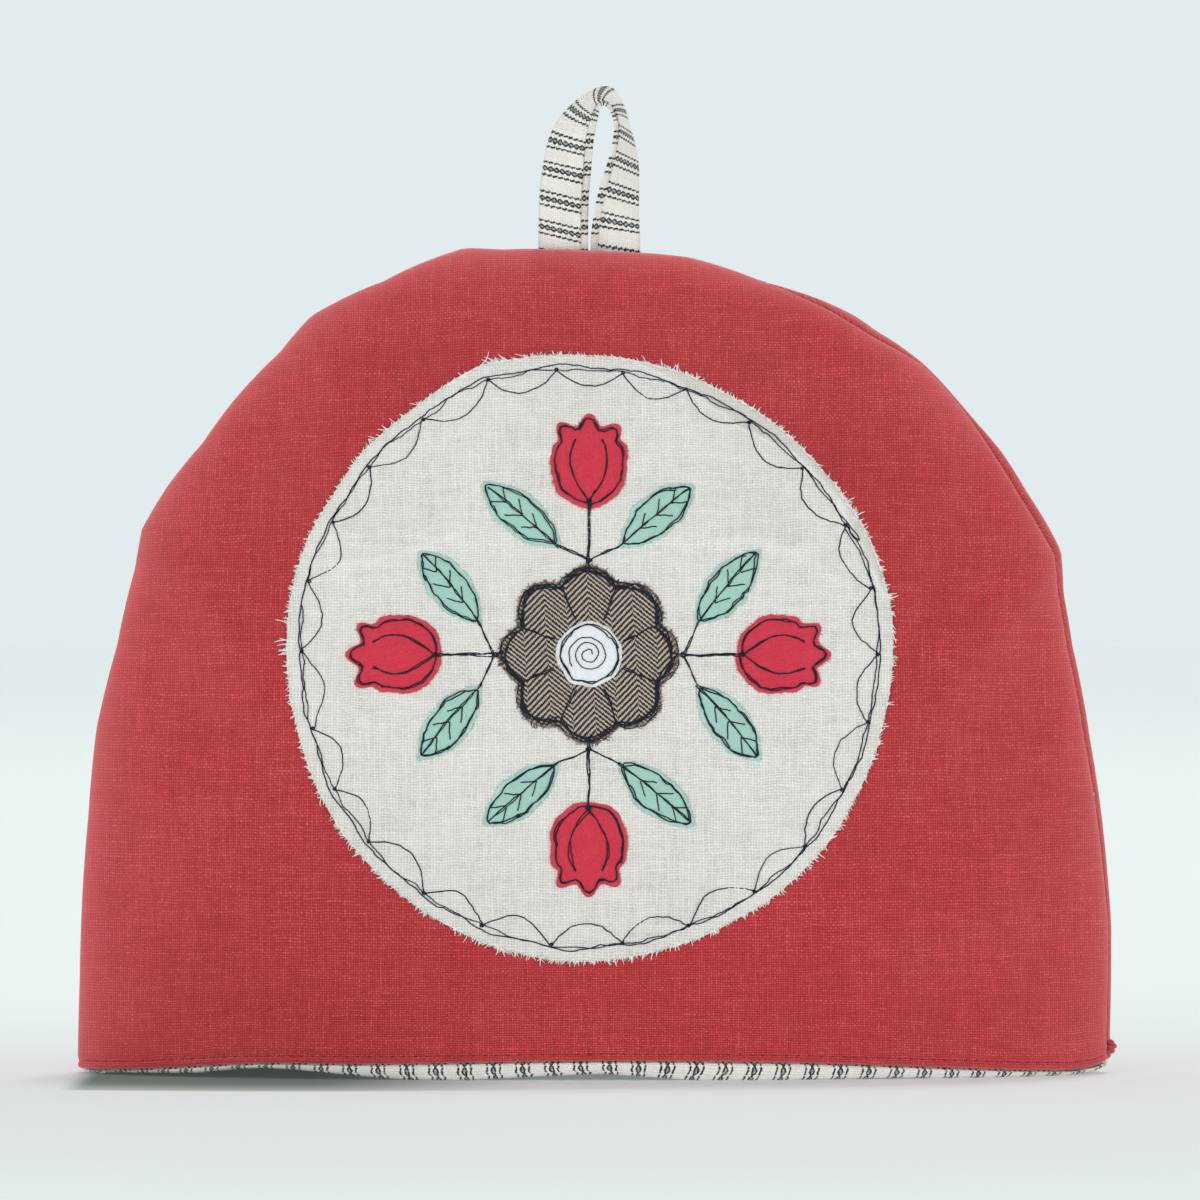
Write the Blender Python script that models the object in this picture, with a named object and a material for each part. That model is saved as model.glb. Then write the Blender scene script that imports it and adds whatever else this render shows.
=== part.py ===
"""Tea cosy: a padded, dome-shaped cover of two sewn panels that stands on its hem.

Metres, +Z up, front towards -Y. The origin lies on the floor under the middle of the hem.
The panels, linings and everything sewn to them follow one form: a superellipse outline in
the XZ plane, bowed to the front and to the back, and shrunk a little for each layer inside.
"""

from collections import namedtuple
import math

import bmesh
import bpy
from mathutils import Vector

MM = 0.001

# ---- The form -------------------------------------------------------------------------------
HEM_HALF_WIDTH = 170 * MM
DOME_HEIGHT = 271 * MM
HALF_DEPTH = 52 * MM
OUTLINE_POWER = 2.6
BOW_POWER = 0.7
LEAST_LEAN = 0.5

# ---- Layers, given as how far each lies inside the cover's outer face -------------------------
COVER_THICKNESS = 4 * MM
LINING_THICKNESS = 1.6 * MM
LAYER_GAP = 0.45 * MM
LINING_OUTSIDE = COVER_THICKNESS + LAYER_GAP
LINING_INSIDE = LINING_OUTSIDE + LINING_THICKNESS

# ---- The arched seam between front and back ---------------------------------------------------
SEAM_GAP = 0.3 * MM
SEAM_GROOVE = 1.2 * MM
GROOVE_WIDTH = 1.3 * MM
PUFF = 1.2 * MM
PUFF_WIDTH = 4 * MM
WRAP_WIDTH = 6 * MM
WRAP_SHARE = 0.5
DRIFT_FADE = 12 * MM

# ---- Grid of a panel: a rectangular core with a band of rings out to the seam -----------------
CORE_HALF_WIDTH = 112 * MM
CORE_HEIGHT = 188 * MM
CORNER_BEARING = 57.9
SIDE_CELLS = 12
TOP_CELLS = 26
BAND_CELLS = 8
BAND_GRADING = 2.2
HEM_WARP_HEIGHT = 40 * MM

# ---- Strap loop ---------------------------------------------------------------------------------
STRAP_THICKNESS = 1.6 * MM
STRAP_WIDTH = 16.3 * MM
LIP_WIDTH = 2.4 * MM
LIP_STEP = 0.7 * MM
STRAP_END_HEIGHT = 266.8 * MM
STRAP_SLOT = (-33 * MM, 31 * MM)
SLOT_FADE = 10 * MM
SLOT_DEPTH = 9 * MM
STRAP_STEPS = 2

# ---- Round patch and the pieces sewn on it --------------------------------------------------------
PATCH_CENTRE = (-2 * MM, 137 * MM)
PATCH_RADIUS = 98 * MM
CLOTH_THICKNESS = 1 * MM
CLOTH_GAP = 0.45 * MM
PATCH_LIFT = 0.6 * MM
MOTIF_LIFT = PATCH_LIFT + CLOTH_THICKNESS + CLOTH_GAP
MIDDLE_LIFT = MOTIF_LIFT + CLOTH_THICKNESS + CLOTH_GAP

ROSETTE_RADIUS = 27 * MM
ROSETTE_PETALS = 8
ROSETTE_SCALLOP = 0.07
MIDDLE_RADIUS = 10.5 * MM
TULIP_DISTANCE = 62 * MM
TULIP_LENGTH = 29 * MM
TULIP_WIDTH = 25 * MM
LEAF_LENGTH = 32 * MM
LEAF_WIDTH = 13.5 * MM
LEAF_DISTANCE = 50 * MM
LEAF_SPREAD = 26
LEAF_TURN = 24
ARM_BEARINGS = (0, 90, 180, 270)

FRONT = -1
BACK = 1

# How far the outline stands out of the plain superellipse, by bearing in degrees from the left
# hem corner over the crown (90) to the right hem corner (180): the buckles of the curved seam.
Swell = namedtuple("Swell", "bearing out_mm")
OUTLINE_SWELL = (
    Swell(0, 0.0), Swell(10, -0.6), Swell(27, -0.6), Swell(35, 0.5), Swell(42, -0.6),
    Swell(48, 0.8), Swell(50.8, 3.2), Swell(54.2, 1.4), Swell(58.1, -1.8), Swell(66.3, -2.2),
    Swell(69.6, 0.9), Swell(75, -0.4), Swell(81, 2.9), Swell(83.5, 0.7), Swell(90, -0.9),
    Swell(96.5, -1.8), Swell(101.7, -5.0), Swell(111, -4.5), Swell(114.9, -1.7),
    Swell(120, -1.0), Swell(126, 1.0), Swell(131, 4.0), Swell(134, 0.7), Swell(138, -1.0),
    Swell(146, -1.4), Swell(152, -0.7), Swell(164, 0.4), Swell(176, -0.9), Swell(180, 0.0),
)

# How far the seam lies towards the front (+) or the back (-) of the silhouette.
Drift = namedtuple("Drift", "bearing forward_mm")
SEAM_DRIFT = (
    Drift(0, -2.0), Drift(20, -3.0), Drift(55, -3.0), Drift(80, 0.0), Drift(102, 0.0),
    Drift(118, 3.5), Drift(128, 5.5), Drift(145, 5.5), Drift(165, 3.0), Drift(180, 4.0),
)

# Lower edges of the red cover and of the lining under it, across the front and the back.
Hem = namedtuple("Hem", "x_mm cover_mm lining_mm")
FRONT_HEM = (
    Hem(-170, 1.4, 0.4), Hem(-150, 2.2, 0.9), Hem(-130, 3.7, 1.5), Hem(-118, 4.6, 2.9),
    Hem(-109, 5.0, 3.4), Hem(-98, 5.2, 3.0), Hem(-77, 5.1, 1.1), Hem(-62, 5.3, 0.0),
    Hem(-42, 5.7, 0.0), Hem(-20, 6.1, 1.2), Hem(2, 6.4, 2.1), Hem(18, 6.3, 1.0),
    Hem(32, 6.2, 0.0), Hem(67, 5.6, 0.0), Hem(100, 4.3, 0.4), Hem(115, 3.5, 0.0),
    Hem(138, 2.3, 0.0), Hem(156, 1.7, 0.0), Hem(163, 2.6, 0.8), Hem(170, 5.2, 2.6),
)
BACK_HEM = (
    Hem(-170, 1.4, 0.4), Hem(-158, 1.8, 0.0), Hem(-110, 3.0, 0.0), Hem(-72, 4.2, 1.2),
    Hem(-50, 4.5, 2.0), Hem(-25, 4.5, 0.8), Hem(-8, 4.6, 0.0), Hem(42, 4.8, 0.0),
    Hem(75, 4.9, 1.6), Hem(95, 4.6, 2.2), Hem(114, 4.0, 0.0), Hem(150, 2.0, 0.0),
    Hem(163, 2.6, 0.8), Hem(170, 5.2, 2.6),
)
HEM_TABLES = {FRONT: FRONT_HEM, BACK: BACK_HEM}

# Soft troughs (depth > 0) and swells (depth < 0) that run in from the seam.
Fold = namedtuple("Fold", "bearing width_deg reach_mm depth_mm")
FRONT_FOLDS = (
    Fold(20, 9, 60, 1.4), Fold(34, 7, 55, -1.2), Fold(43, 4, 75, 1.8), Fold(51, 4, 60, -1.4),
    Fold(61, 5, 70, 2.2), Fold(70, 4, 50, -1.2), Fold(76, 3, 45, 1.3), Fold(82, 3.5, 55, -1.6),
    Fold(97, 5, 60, 1.6), Fold(107, 5, 75, 2.0), Fold(118, 4, 55, -1.2), Fold(124, 3, 60, 1.5),
    Fold(131, 3.5, 60, -1.8), Fold(139, 5, 70, 2.0), Fold(152, 6, 60, -1.0),
    Fold(163, 5, 70, 1.6),
)
BACK_FOLDS = (
    Fold(14, 7, 60, -1.2), Fold(26, 6, 70, 1.8), Fold(40, 5, 60, -1.4), Fold(50, 5, 75, 2.2),
    Fold(64, 5, 60, -1.4), Fold(75, 4, 60, 1.8), Fold(90, 6, 50, -1.0), Fold(104, 5, 75, 2.2),
    Fold(116, 5, 60, -1.4), Fold(130, 5, 75, 2.2), Fold(146, 6, 60, -1.4), Fold(160, 6, 65, 1.6),
)
FOLD_TABLES = {FRONT: FRONT_FOLDS, BACK: BACK_FOLDS}

# Rolled lower edge of the lining: how far inside the outer face, and the share of the height
# from the lining's lowest line up to the cover's edge.
RollRow = namedtuple("RollRow", "inset_mm height_share")
HEM_ROLL = (
    RollRow(1.1, 1.0), RollRow(0.9, 0.6), RollRow(1.5, 0.22), RollRow(2.7, 0.0),
)
ROLL_CLEARANCE = 0.5 * MM

# Strap sections from the left end, over the top, to the right end: the outer edge's and the
# inner edge's place in the XZ plane. The width that is missing there runs front to back.
Section = namedtuple("Section", "outer_x outer_z inner_x inner_z")
STRAP_SECTIONS = (
    Section(-18.6, 273.0, -2.1, 273.0), Section(-18.5, 281.0, -1.9, 281.0),
    Section(-18.2, 289.0, -1.7, 289.0), Section(-17.0, 298.6, -1.2, 298.2),
    Section(-15.0, 306.8, -0.6, 305.8), Section(-11.0, 313.6, 0.2, 311.0),
    Section(-5.2, 319.2, 1.0, 314.9), Section(0.8, 322.6, 2.0, 316.8),
    Section(5.6, 322.6, 3.6, 316.7), Section(8.8, 317.6, 5.5, 314.6),
    Section(11.0, 310.6, 6.8, 310.4), Section(12.9, 303.6, 6.2, 304.4),
    Section(14.1, 296.6, 4.4, 297.6), Section(14.2, 288.4, 1.7, 289.6),
    Section(14.4, 280.4, -0.3, 281.4), Section(14.8, 273.0, -1.5, 273.0),
)

# name: (colour, roughness)
FINISHES = {
    "red_linen": ((0.410, 0.052, 0.057, 1.0), 0.9),
    "ticking": ((0.720, 0.700, 0.640, 1.0), 0.85),
    "natural_linen": ((0.690, 0.690, 0.650, 1.0), 0.9),
    "tweed": ((0.150, 0.130, 0.115, 1.0), 0.95),
    "white_cotton": ((0.800, 0.820, 0.850, 1.0), 0.85),
    "bright_red_cotton": ((0.600, 0.035, 0.065, 1.0), 0.85),
    "teal_cotton": ((0.350, 0.590, 0.510, 1.0), 0.9),
}


# ---- Small helpers ----------------------------------------------------------------------------
def clear_scene():
    """Removes every object from the scene."""
    for thing in list(bpy.data.objects):
        bpy.data.objects.remove(thing)


def finish_material(name):
    """Returns the Principled material of that name, made on first use."""
    material = bpy.data.materials.get(name)
    if material:
        return material
    colour, roughness = FINISHES[name]
    material = bpy.data.materials.new(name)
    material.use_nodes = True
    shader = material.node_tree.nodes["Principled BSDF"]
    shader.inputs["Base Color"].default_value = colour
    shader.inputs["Roughness"].default_value = roughness
    shader.inputs["Metallic"].default_value = 0.0
    return material


def table_value(table, at, column):
    """Reads a table's column at a place between its rows, in straight steps."""
    if at <= table[0][0]:
        return getattr(table[0], column)
    for low, high in zip(table, table[1:]):
        if at <= high[0]:
            share = (at - low[0]) / (high[0] - low[0])
            return getattr(low, column) * (1 - share) + getattr(high, column) * share
    return getattr(table[-1], column)


def smooth_step(low, high, value):
    """Rises softly from 0 at low to 1 at high."""
    share = min(max((value - low) / (high - low), 0.0), 1.0)
    return share * share * (3 - 2 * share)


def add_object(name, mesh_builder, finish):
    """Links a closed mesh as one object, smooth but for its sharp edges."""
    bmesh.ops.recalc_face_normals(mesh_builder, faces=mesh_builder.faces)
    mesh = bpy.data.meshes.new(name)
    mesh_builder.to_mesh(mesh)
    mesh_builder.free()
    mesh.shade_smooth()
    mesh.set_sharp_from_angle(angle=math.radians(40))
    thing = bpy.data.objects.new(name, mesh)
    thing.data.materials.append(finish_material(finish))
    bpy.context.scene.collection.objects.link(thing)
    return thing


# ---- The form ----------------------------------------------------------------------------------
def outline_reach(bearing):
    """Distance from the hem's middle to the plain outline at a bearing in degrees."""
    angle = math.radians(bearing)
    across = abs(math.cos(angle)) / HEM_HALF_WIDTH
    up = abs(math.sin(angle)) / DOME_HEIGHT
    return (across ** OUTLINE_POWER + up ** OUTLINE_POWER) ** (-1 / OUTLINE_POWER)


def outline_point(bearing):
    """Point of the plain outline in the XZ plane."""
    angle = math.radians(bearing)
    return Vector((-math.cos(angle), math.sin(angle))) * outline_reach(bearing)


def fullness(x, z):
    """0 at the hem's middle, 1 on the outline."""
    across = abs(x / HEM_HALF_WIDTH) ** OUTLINE_POWER
    return min(across + abs(z / DOME_HEIGHT) ** OUTLINE_POWER, 1.0)


def outward(x, z):
    """Unit vector in the XZ plane that points straight out towards the outline."""
    power = OUTLINE_POWER - 1
    across = math.copysign(abs(x / HEM_HALF_WIDTH) ** power / HEM_HALF_WIDTH, x)
    up = max(z / DOME_HEIGHT, 0.0) ** power / DOME_HEIGHT
    length = math.hypot(across, up)
    return Vector((across, up)) / length if length > 0 else Vector((0.0, 1.0))


def fold_relief(side, bearing, edge_distance):
    """Sum of the soft folds of one panel, outward in metres."""
    relief = 0.0
    for fold in FOLD_TABLES[side]:
        across = math.exp(-((bearing - fold.bearing) / fold.width_deg) ** 2)
        reach = fold.reach_mm * MM
        along = smooth_step(0, 0.3 * reach, edge_distance)
        along *= 1 - smooth_step(0.35 * reach, reach, edge_distance)
        relief -= fold.depth_mm * MM * across * along
    return relief


def seam_half_gap(x, edge_distance):
    """Half the gap between the two panels: wider where the strap is caught between them."""
    left, right = STRAP_SLOT
    share = smooth_step(left - SLOT_FADE, left, x) * (1 - smooth_step(right, right + SLOT_FADE, x))
    share *= math.exp(-(edge_distance / SLOT_DEPTH) ** 2)
    return SEAM_GAP / 2 + (STRAP_THICKNESS + SEAM_GAP) / 2 * share


def form_point(side, x, z, inset, puffed=False):
    """Point of one layer of a panel over the plain in-plane point (x, z)."""
    bearing = math.degrees(math.atan2(max(z, 0.0), -x))
    full = fullness(x, z)
    straight_out = outward(x, z)
    lean = max(straight_out.dot(Vector((x, max(z, 0.0))).normalized()), LEAST_LEAN)
    edge_distance = (1 - full) * outline_reach(bearing) / OUTLINE_POWER * lean
    forward = table_value(SEAM_DRIFT, bearing, "forward_mm") * MM
    wraps = forward * side > 0
    overlap = abs(forward) * WRAP_SHARE

    # The seam lies inside the silhouette, and the panel that wraps past it bulges out beyond it.
    out = table_value(OUTLINE_SWELL, bearing, "out_mm") * MM * smooth_step(0.3, 1.0, full)
    seam_pull = math.exp(-(edge_distance / GROOVE_WIDTH) ** 2)
    out -= overlap * seam_pull
    if wraps:
        out += overlap * (edge_distance / WRAP_WIDTH) * math.exp(1 - edge_distance / WRAP_WIDTH)
    if puffed:
        out -= SEAM_GROOVE * seam_pull
        out += PUFF * (edge_distance / PUFF_WIDTH) * math.exp(1 - edge_distance / PUFF_WIDTH)

    bow = (HALF_DEPTH - inset) * (1 - full) ** BOW_POWER
    bow += fold_relief(side, bearing, edge_distance)
    bow += seam_half_gap(x, edge_distance)
    shift = straight_out * out
    return Vector((
        x * (1 - inset / HEM_HALF_WIDTH) + shift.x,
        side * bow - forward * math.exp(-edge_distance / DRIFT_FADE),
        z * (1 - inset / DOME_HEIGHT) + shift.y,
    ))


# ---- Panels and linings ----------------------------------------------------------------------------
def even_bearings(start, end, cells):
    """Bearings that split a stretch of the outline into equal lengths."""
    fine = 40 * cells
    bearings = [start + (end - start) * step / fine for step in range(fine + 1)]
    points = [outline_point(bearing) for bearing in bearings]
    lengths = [0.0]
    for before, after in zip(points, points[1:]):
        lengths.append(lengths[-1] + (after - before).length)
    chosen = [start]
    for cell in range(1, cells):
        target = lengths[-1] * cell / cells
        chosen.append(bearings[min(range(fine + 1), key=lambda step: abs(lengths[step] - target))])
    return chosen + [end]


def core_rim():
    """Plain points up the core's left side, across its top and down its right side."""
    left = [Vector((-CORE_HALF_WIDTH, CORE_HEIGHT * j / SIDE_CELLS)) for j in range(SIDE_CELLS + 1)]
    step = 2 * CORE_HALF_WIDTH / TOP_CELLS
    top = [Vector((-CORE_HALF_WIDTH + step * i, CORE_HEIGHT)) for i in range(1, TOP_CELLS)]
    right = [Vector((-point.x, point.y)) for point in reversed(left)]
    return left + top + right


def plain_grid():
    """Plain in-plane points of a panel and its triangles, and the indices along seam and hem."""
    bearings = even_bearings(0, CORNER_BEARING, SIDE_CELLS)
    bearings += even_bearings(CORNER_BEARING, 180 - CORNER_BEARING, TOP_CELLS)[1:]
    bearings += even_bearings(180 - CORNER_BEARING, 180, SIDE_CELLS)[1:]
    outer = [outline_point(bearing) for bearing in bearings]
    inner = core_rim()
    points = []
    rings = []
    for ring in range(BAND_CELLS + 1):
        share = (ring / BAND_CELLS) ** BAND_GRADING
        rings.append([len(points) + spoke for spoke in range(len(outer))])
        points += [out.lerp(core, share) for out, core in zip(outer, inner)]

    # The core's own rows run from its left rim to its right rim.
    last = rings[-1]
    rows = []
    for j in range(SIDE_CELLS):
        row = [last[j]]
        for i in range(1, TOP_CELLS):
            row.append(len(points))
            across = -CORE_HALF_WIDTH + 2 * CORE_HALF_WIDTH * i / TOP_CELLS
            points.append(Vector((across, CORE_HEIGHT * j / SIDE_CELLS)))
        rows.append(row + [last[-1 - j]])
    rows.append(last[SIDE_CELLS:SIDE_CELLS + TOP_CELLS + 1])

    triangles = []
    for lines in (rings, rows):
        for low, high in zip(lines, lines[1:]):
            for k in range(len(low) - 1):
                triangles += split_quad(points, low[k], low[k + 1], high[k + 1], high[k])
    hem = [ring[0] for ring in rings] + rows[0][1:-1] + [ring[-1] for ring in reversed(rings)]
    return points, triangles, rings[0], hem


def split_quad(points, a, b, c, d):
    """Two triangles on the shorter diagonal, so that every layer bends along the same lines."""
    if (points[a] - points[c]).length < (points[b] - points[d]).length:
        return [(a, b, c), (a, c, d)]
    return [(a, b, d), (b, c, d)]


def lifted(side, point, column):
    """Plain point with the hem's uneven lower edge worked in, fading out upwards."""
    edge = table_value(HEM_TABLES[side], point.x / MM, column) * MM
    return point.x, point.y + edge * max(0.0, 1 - point.y / HEM_WARP_HEIGHT)


def cover_panel(name, side):
    """One padded panel of the red cover."""
    points, triangles, rim, hem = plain_grid()
    builder = bmesh.new()
    outside = []
    inside = []
    for point in points:
        x, z = lifted(side, point, "cover_mm")
        outside.append(builder.verts.new(form_point(side, x, z, 0.0, puffed=True)))
        inside.append(builder.verts.new(form_point(side, x, z, COVER_THICKNESS)))
    close_shell(builder, outside, inside, triangles, rim, hem)
    return add_object(name, builder, "red_linen")


def lining_panel(name, side):
    """One lining, with the rolled edge that shows under the red hem and stands on the floor."""
    points, triangles, rim, hem = plain_grid()
    builder = bmesh.new()
    outside = []
    inside = []
    for point in points:
        x, z = lifted(side, point, "cover_mm")
        if point.y < SEAM_GAP:
            z -= ROLL_CLEARANCE
        outside.append(builder.verts.new(form_point(side, x, z, LINING_OUTSIDE)))
        x, z = lifted(side, point, "lining_mm")
        inside.append(builder.verts.new(form_point(side, x, z, LINING_INSIDE)))

    # Rows of the roll, from under the cover's edge down to the floor.
    rolls = []
    for row in HEM_ROLL:
        line = []
        for index in hem:
            x = points[index].x
            top = table_value(HEM_TABLES[side], x / MM, "cover_mm") * MM - ROLL_CLEARANCE
            low = table_value(HEM_TABLES[side], x / MM, "lining_mm") * MM
            z = low + (top - low) * row.height_share
            line.append(builder.verts.new(form_point(side, x, z, row.inset_mm * MM, puffed=True)))
        rolls.append(line)
    close_shell(builder, outside, inside, triangles, rim, hem, rolls)
    return add_object(name, builder, "ticking")


def close_shell(builder, outside, inside, triangles, rim, hem, rolls=()):
    """Faces both skins of a layer and closes its seam edge and its lower edge."""
    for a, b, c in triangles:
        builder.faces.new((outside[a], outside[b], outside[c]))
        builder.faces.new((inside[c], inside[b], inside[a]))
    outer_seam = [outside[k] for k in rim]
    inner_seam = [inside[k] for k in rim]
    for a, b, c, d in zip(outer_seam, outer_seam[1:], inner_seam[1:], inner_seam):
        builder.faces.new((a, b, c, d))
    lines = [[outside[k] for k in hem]] + list(rolls) + [[inside[k] for k in hem]]
    for upper, lower in zip(lines, lines[1:]):
        for k in range(len(hem) - 1):
            builder.faces.new((upper[k], upper[k + 1], lower[k + 1], lower[k]))
    if rolls:
        # The roll's rows end at the seam, where a fan of triangles closes them.
        for end in (0, -1):
            chain = [line[end] for line in lines]
            builder.faces.new(chain)


# ---- Strap loop --------------------------------------------------------------------------------------
def smooth_rows(rows, steps):
    """Catmull-Rom rows through the given rows, with extra rows between them."""
    result = []
    for k in range(len(rows) - 1):
        before = rows[max(k - 1, 0)]
        start, end = rows[k], rows[k + 1]
        after = rows[min(k + 2, len(rows) - 1)]
        for step in range(steps):
            t = step / steps
            result.append([
                0.5 * (2 * b + (c - a) * t + (2 * a - 5 * b + 4 * c - d) * t ** 2
                       + (3 * b - a - 3 * c + d) * t ** 3)
                for a, b, c, d in zip(before, start, end, after)
            ])
    return result + [list(rows[-1])]


def strap_edges():
    """Outer and inner edge points of the strap, end to end."""
    edges = []
    for outer_x, outer_z, inner_x, inner_z in smooth_rows(STRAP_SECTIONS, STRAP_STEPS):
        flat = math.hypot(outer_x - inner_x, outer_z - inner_z) * MM
        turned = math.sqrt(max(STRAP_WIDTH ** 2 - flat ** 2, 0.0)) / 2
        edges.append((Vector((outer_x * MM, turned, outer_z * MM)),
                      Vector((inner_x * MM, -turned, inner_z * MM))))
    for end, place in ((edges[0], 0), (edges[-1], len(edges) + 1)):
        outer, inner = (Vector((point.x, 0.0, STRAP_END_HEIGHT)) for point in end)
        edges.insert(place, (outer, inner))
    return edges


def hanging_loop():
    """The ticking strap: flat legs side by side in the seam, turned edge-on over the top."""
    edges = strap_edges()
    middles = [(outer + inner) / 2 for outer, inner in edges]
    half = STRAP_THICKNESS / 2
    builder = bmesh.new()
    sections = []
    for k, (outer, inner) in enumerate(edges):
        along = middles[min(k + 1, len(edges) - 1)] - middles[max(k - 1, 0)]
        across = (inner - outer).normalized()
        face = across.cross(along).normalized()
        if k in (0, len(edges) - 1):
            face = Vector((0.0, math.copysign(1.0, face.y), 0.0))
        step = outer.lerp(inner, 1 - LIP_WIDTH / STRAP_WIDTH)
        corners = (
            outer + face * half, step + face * half, step + face * (half - LIP_STEP),
            inner + face * (half - LIP_STEP), inner - face * half, outer - face * half,
        )
        sections.append([builder.verts.new(corner) for corner in corners])
    for low, high in zip(sections, sections[1:]):
        for k in range(len(low)):
            after = (k + 1) % len(low)
            builder.faces.new((low[k], low[after], high[after], high[k]))
    for section in (sections[0], sections[-1]):
        builder.faces.new((section[0], section[1], section[2], section[5]))
        builder.faces.new((section[2], section[3], section[4], section[5]))
    return add_object("hanging_loop", builder, "ticking")


# ---- Patch and appliqued pieces -----------------------------------------------------------------------
def on_front(x, z, lift):
    """Point that stands off the front panel's outer face by lift."""
    probe = 2 * MM
    point = form_point(FRONT, x, z, 0.0)
    across = form_point(FRONT, x + probe, z, 0.0) - form_point(FRONT, x - probe, z, 0.0)
    up = form_point(FRONT, x, z + probe, 0.0) - form_point(FRONT, x, z - probe, 0.0)
    return point + across.cross(up).normalized() * lift


def laid_cloth(name, centre, radius_at, lift, finish, rings, spokes):
    """A thin cloth shape laid on the front, its outline given as a radius by angle."""
    builder = bmesh.new()
    skins = []
    for level in (lift, lift + CLOTH_THICKNESS):
        middle = builder.verts.new(on_front(centre[0], centre[1], level))
        circles = []
        for ring in range(1, rings + 1):
            circle = []
            for spoke in range(spokes):
                angle = 2 * math.pi * spoke / spokes
                reach = radius_at(angle) * ring / rings
                x = centre[0] + reach * math.cos(angle)
                z = centre[1] + reach * math.sin(angle)
                circle.append(builder.verts.new(on_front(x, z, level)))
            circles.append(circle)
        skins.append((middle, circles))
    for middle, circles in skins:
        for k in range(spokes):
            after = (k + 1) % spokes
            builder.faces.new((middle, circles[0][k], circles[0][after]))
            for low, high in zip(circles, circles[1:]):
                builder.faces.new((low[k], high[k], high[after], low[after]))
    (_, under), (_, over) = skins
    for k in range(spokes):
        after = (k + 1) % spokes
        builder.faces.new((under[-1][k], under[-1][after], over[-1][after], over[-1][k]))
    return add_object(name, builder, finish)


def patch_radius(angle):
    """Raw-cut rim of the round patch, a little uneven."""
    wobble = 0.5 * math.sin(3 * angle + 1.0) + 0.35 * math.sin(7 * angle + 0.4)
    return PATCH_RADIUS + wobble * MM


def rosette_radius(angle):
    """Scalloped rosette of equal petals."""
    return ROSETTE_RADIUS * (1 + ROSETTE_SCALLOP * (abs(math.cos(ROSETTE_PETALS * angle / 2)) * 2 - 1))


def leaf_radius(turn):
    """Almond leaf of two arcs, pointing along the turned axis."""
    half_length, half_width = LEAF_LENGTH / 2, LEAF_WIDTH / 2
    arc = (half_length ** 2 + half_width ** 2) / (2 * half_width)
    sink = arc - half_width

    def radius(angle):
        local = angle - turn
        rise = abs(math.sin(local)) * sink
        return math.sqrt(rise ** 2 + arc ** 2 - sink ** 2) - rise
    return radius


def tulip_radius(turn):
    """Tulip seen from the side: round below, with three points at its mouth."""
    def radius(angle):
        local = (angle - turn + math.pi) % (2 * math.pi) - math.pi
        along, side = math.cos(local) / (TULIP_LENGTH / 2), math.sin(local) / (TULIP_WIDTH / 2)
        cup = (abs(along) ** 2.3 + abs(side) ** 2.3) ** (-1 / 2.3)
        mouth = 1 - smooth_step(0.75, 1.25, abs(local))
        return cup * (1 + 0.13 * mouth * (math.cos(4 * math.pi * local / 1.36) - 0.15))
    return radius


def polar(centre, distance, degrees):
    """Point at a distance and bearing from a centre in the XZ plane."""
    angle = math.radians(degrees)
    return centre[0] + distance * math.cos(angle), centre[1] + distance * math.sin(angle)


def flower_cross():
    """A plain folk rosette with four tulips and eight leaves, in the middle of the patch."""
    laid_cloth("rosette", PATCH_CENTRE, rosette_radius, MOTIF_LIFT, "tweed", 3, 32)
    laid_cloth("rosette_middle", PATCH_CENTRE, lambda angle: MIDDLE_RADIUS, MIDDLE_LIFT,
               "white_cotton", 2, 16)
    leaf = 0
    for arm, bearing in enumerate(ARM_BEARINGS):
        spot = polar(PATCH_CENTRE, TULIP_DISTANCE, bearing)
        laid_cloth(f"tulip_{arm + 1}", spot, tulip_radius(math.radians(bearing)), MOTIF_LIFT,
                   "bright_red_cotton", 2, 20)
        for hand in (-1, 1):
            leaf += 1
            spot = polar(PATCH_CENTRE, LEAF_DISTANCE, bearing + hand * LEAF_SPREAD)
            turn = math.radians(bearing + hand * (LEAF_SPREAD + LEAF_TURN))
            laid_cloth(f"leaf_{leaf}", spot, leaf_radius(turn), MOTIF_LIFT, "teal_cotton", 2, 16)


def main():
    """Builds the whole cosy."""
    clear_scene()
    cover_panel("front_panel", FRONT)
    cover_panel("back_panel", BACK)
    lining_panel("lining_front", FRONT)
    lining_panel("lining_back", BACK)
    hanging_loop()
    laid_cloth("round_patch", PATCH_CENTRE, patch_radius, PATCH_LIFT, "natural_linen", 8, 44)
    flower_cross()


main()
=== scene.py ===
"""The looks of a padded tea cosy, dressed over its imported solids.

Metres, +Z up, front towards -Y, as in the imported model. Every piece of cloth is first cut flat,
in a plain space: X runs across, Z runs up from the hem, and Y is the depth inside the cover's
outer face, or the height above it for what is sewn on. One shared form then bows the flat
pieces into the standing dome, so that layers stay parallel and clear of each other.
"""

from __future__ import annotations

import logging
import math
from collections.abc import Callable, Iterable, Sequence
from dataclasses import dataclass, field
from enum import Enum
from typing import NamedTuple

import bmesh
import bpy
import numpy as np
from bmesh.types import BMEdge, BMesh, BMFace, BMVert
from bpy.types import ID, Material, Mesh, NodeSocket, NodeTree, Object
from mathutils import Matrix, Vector
from mathutils.kdtree import KDTree


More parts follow.
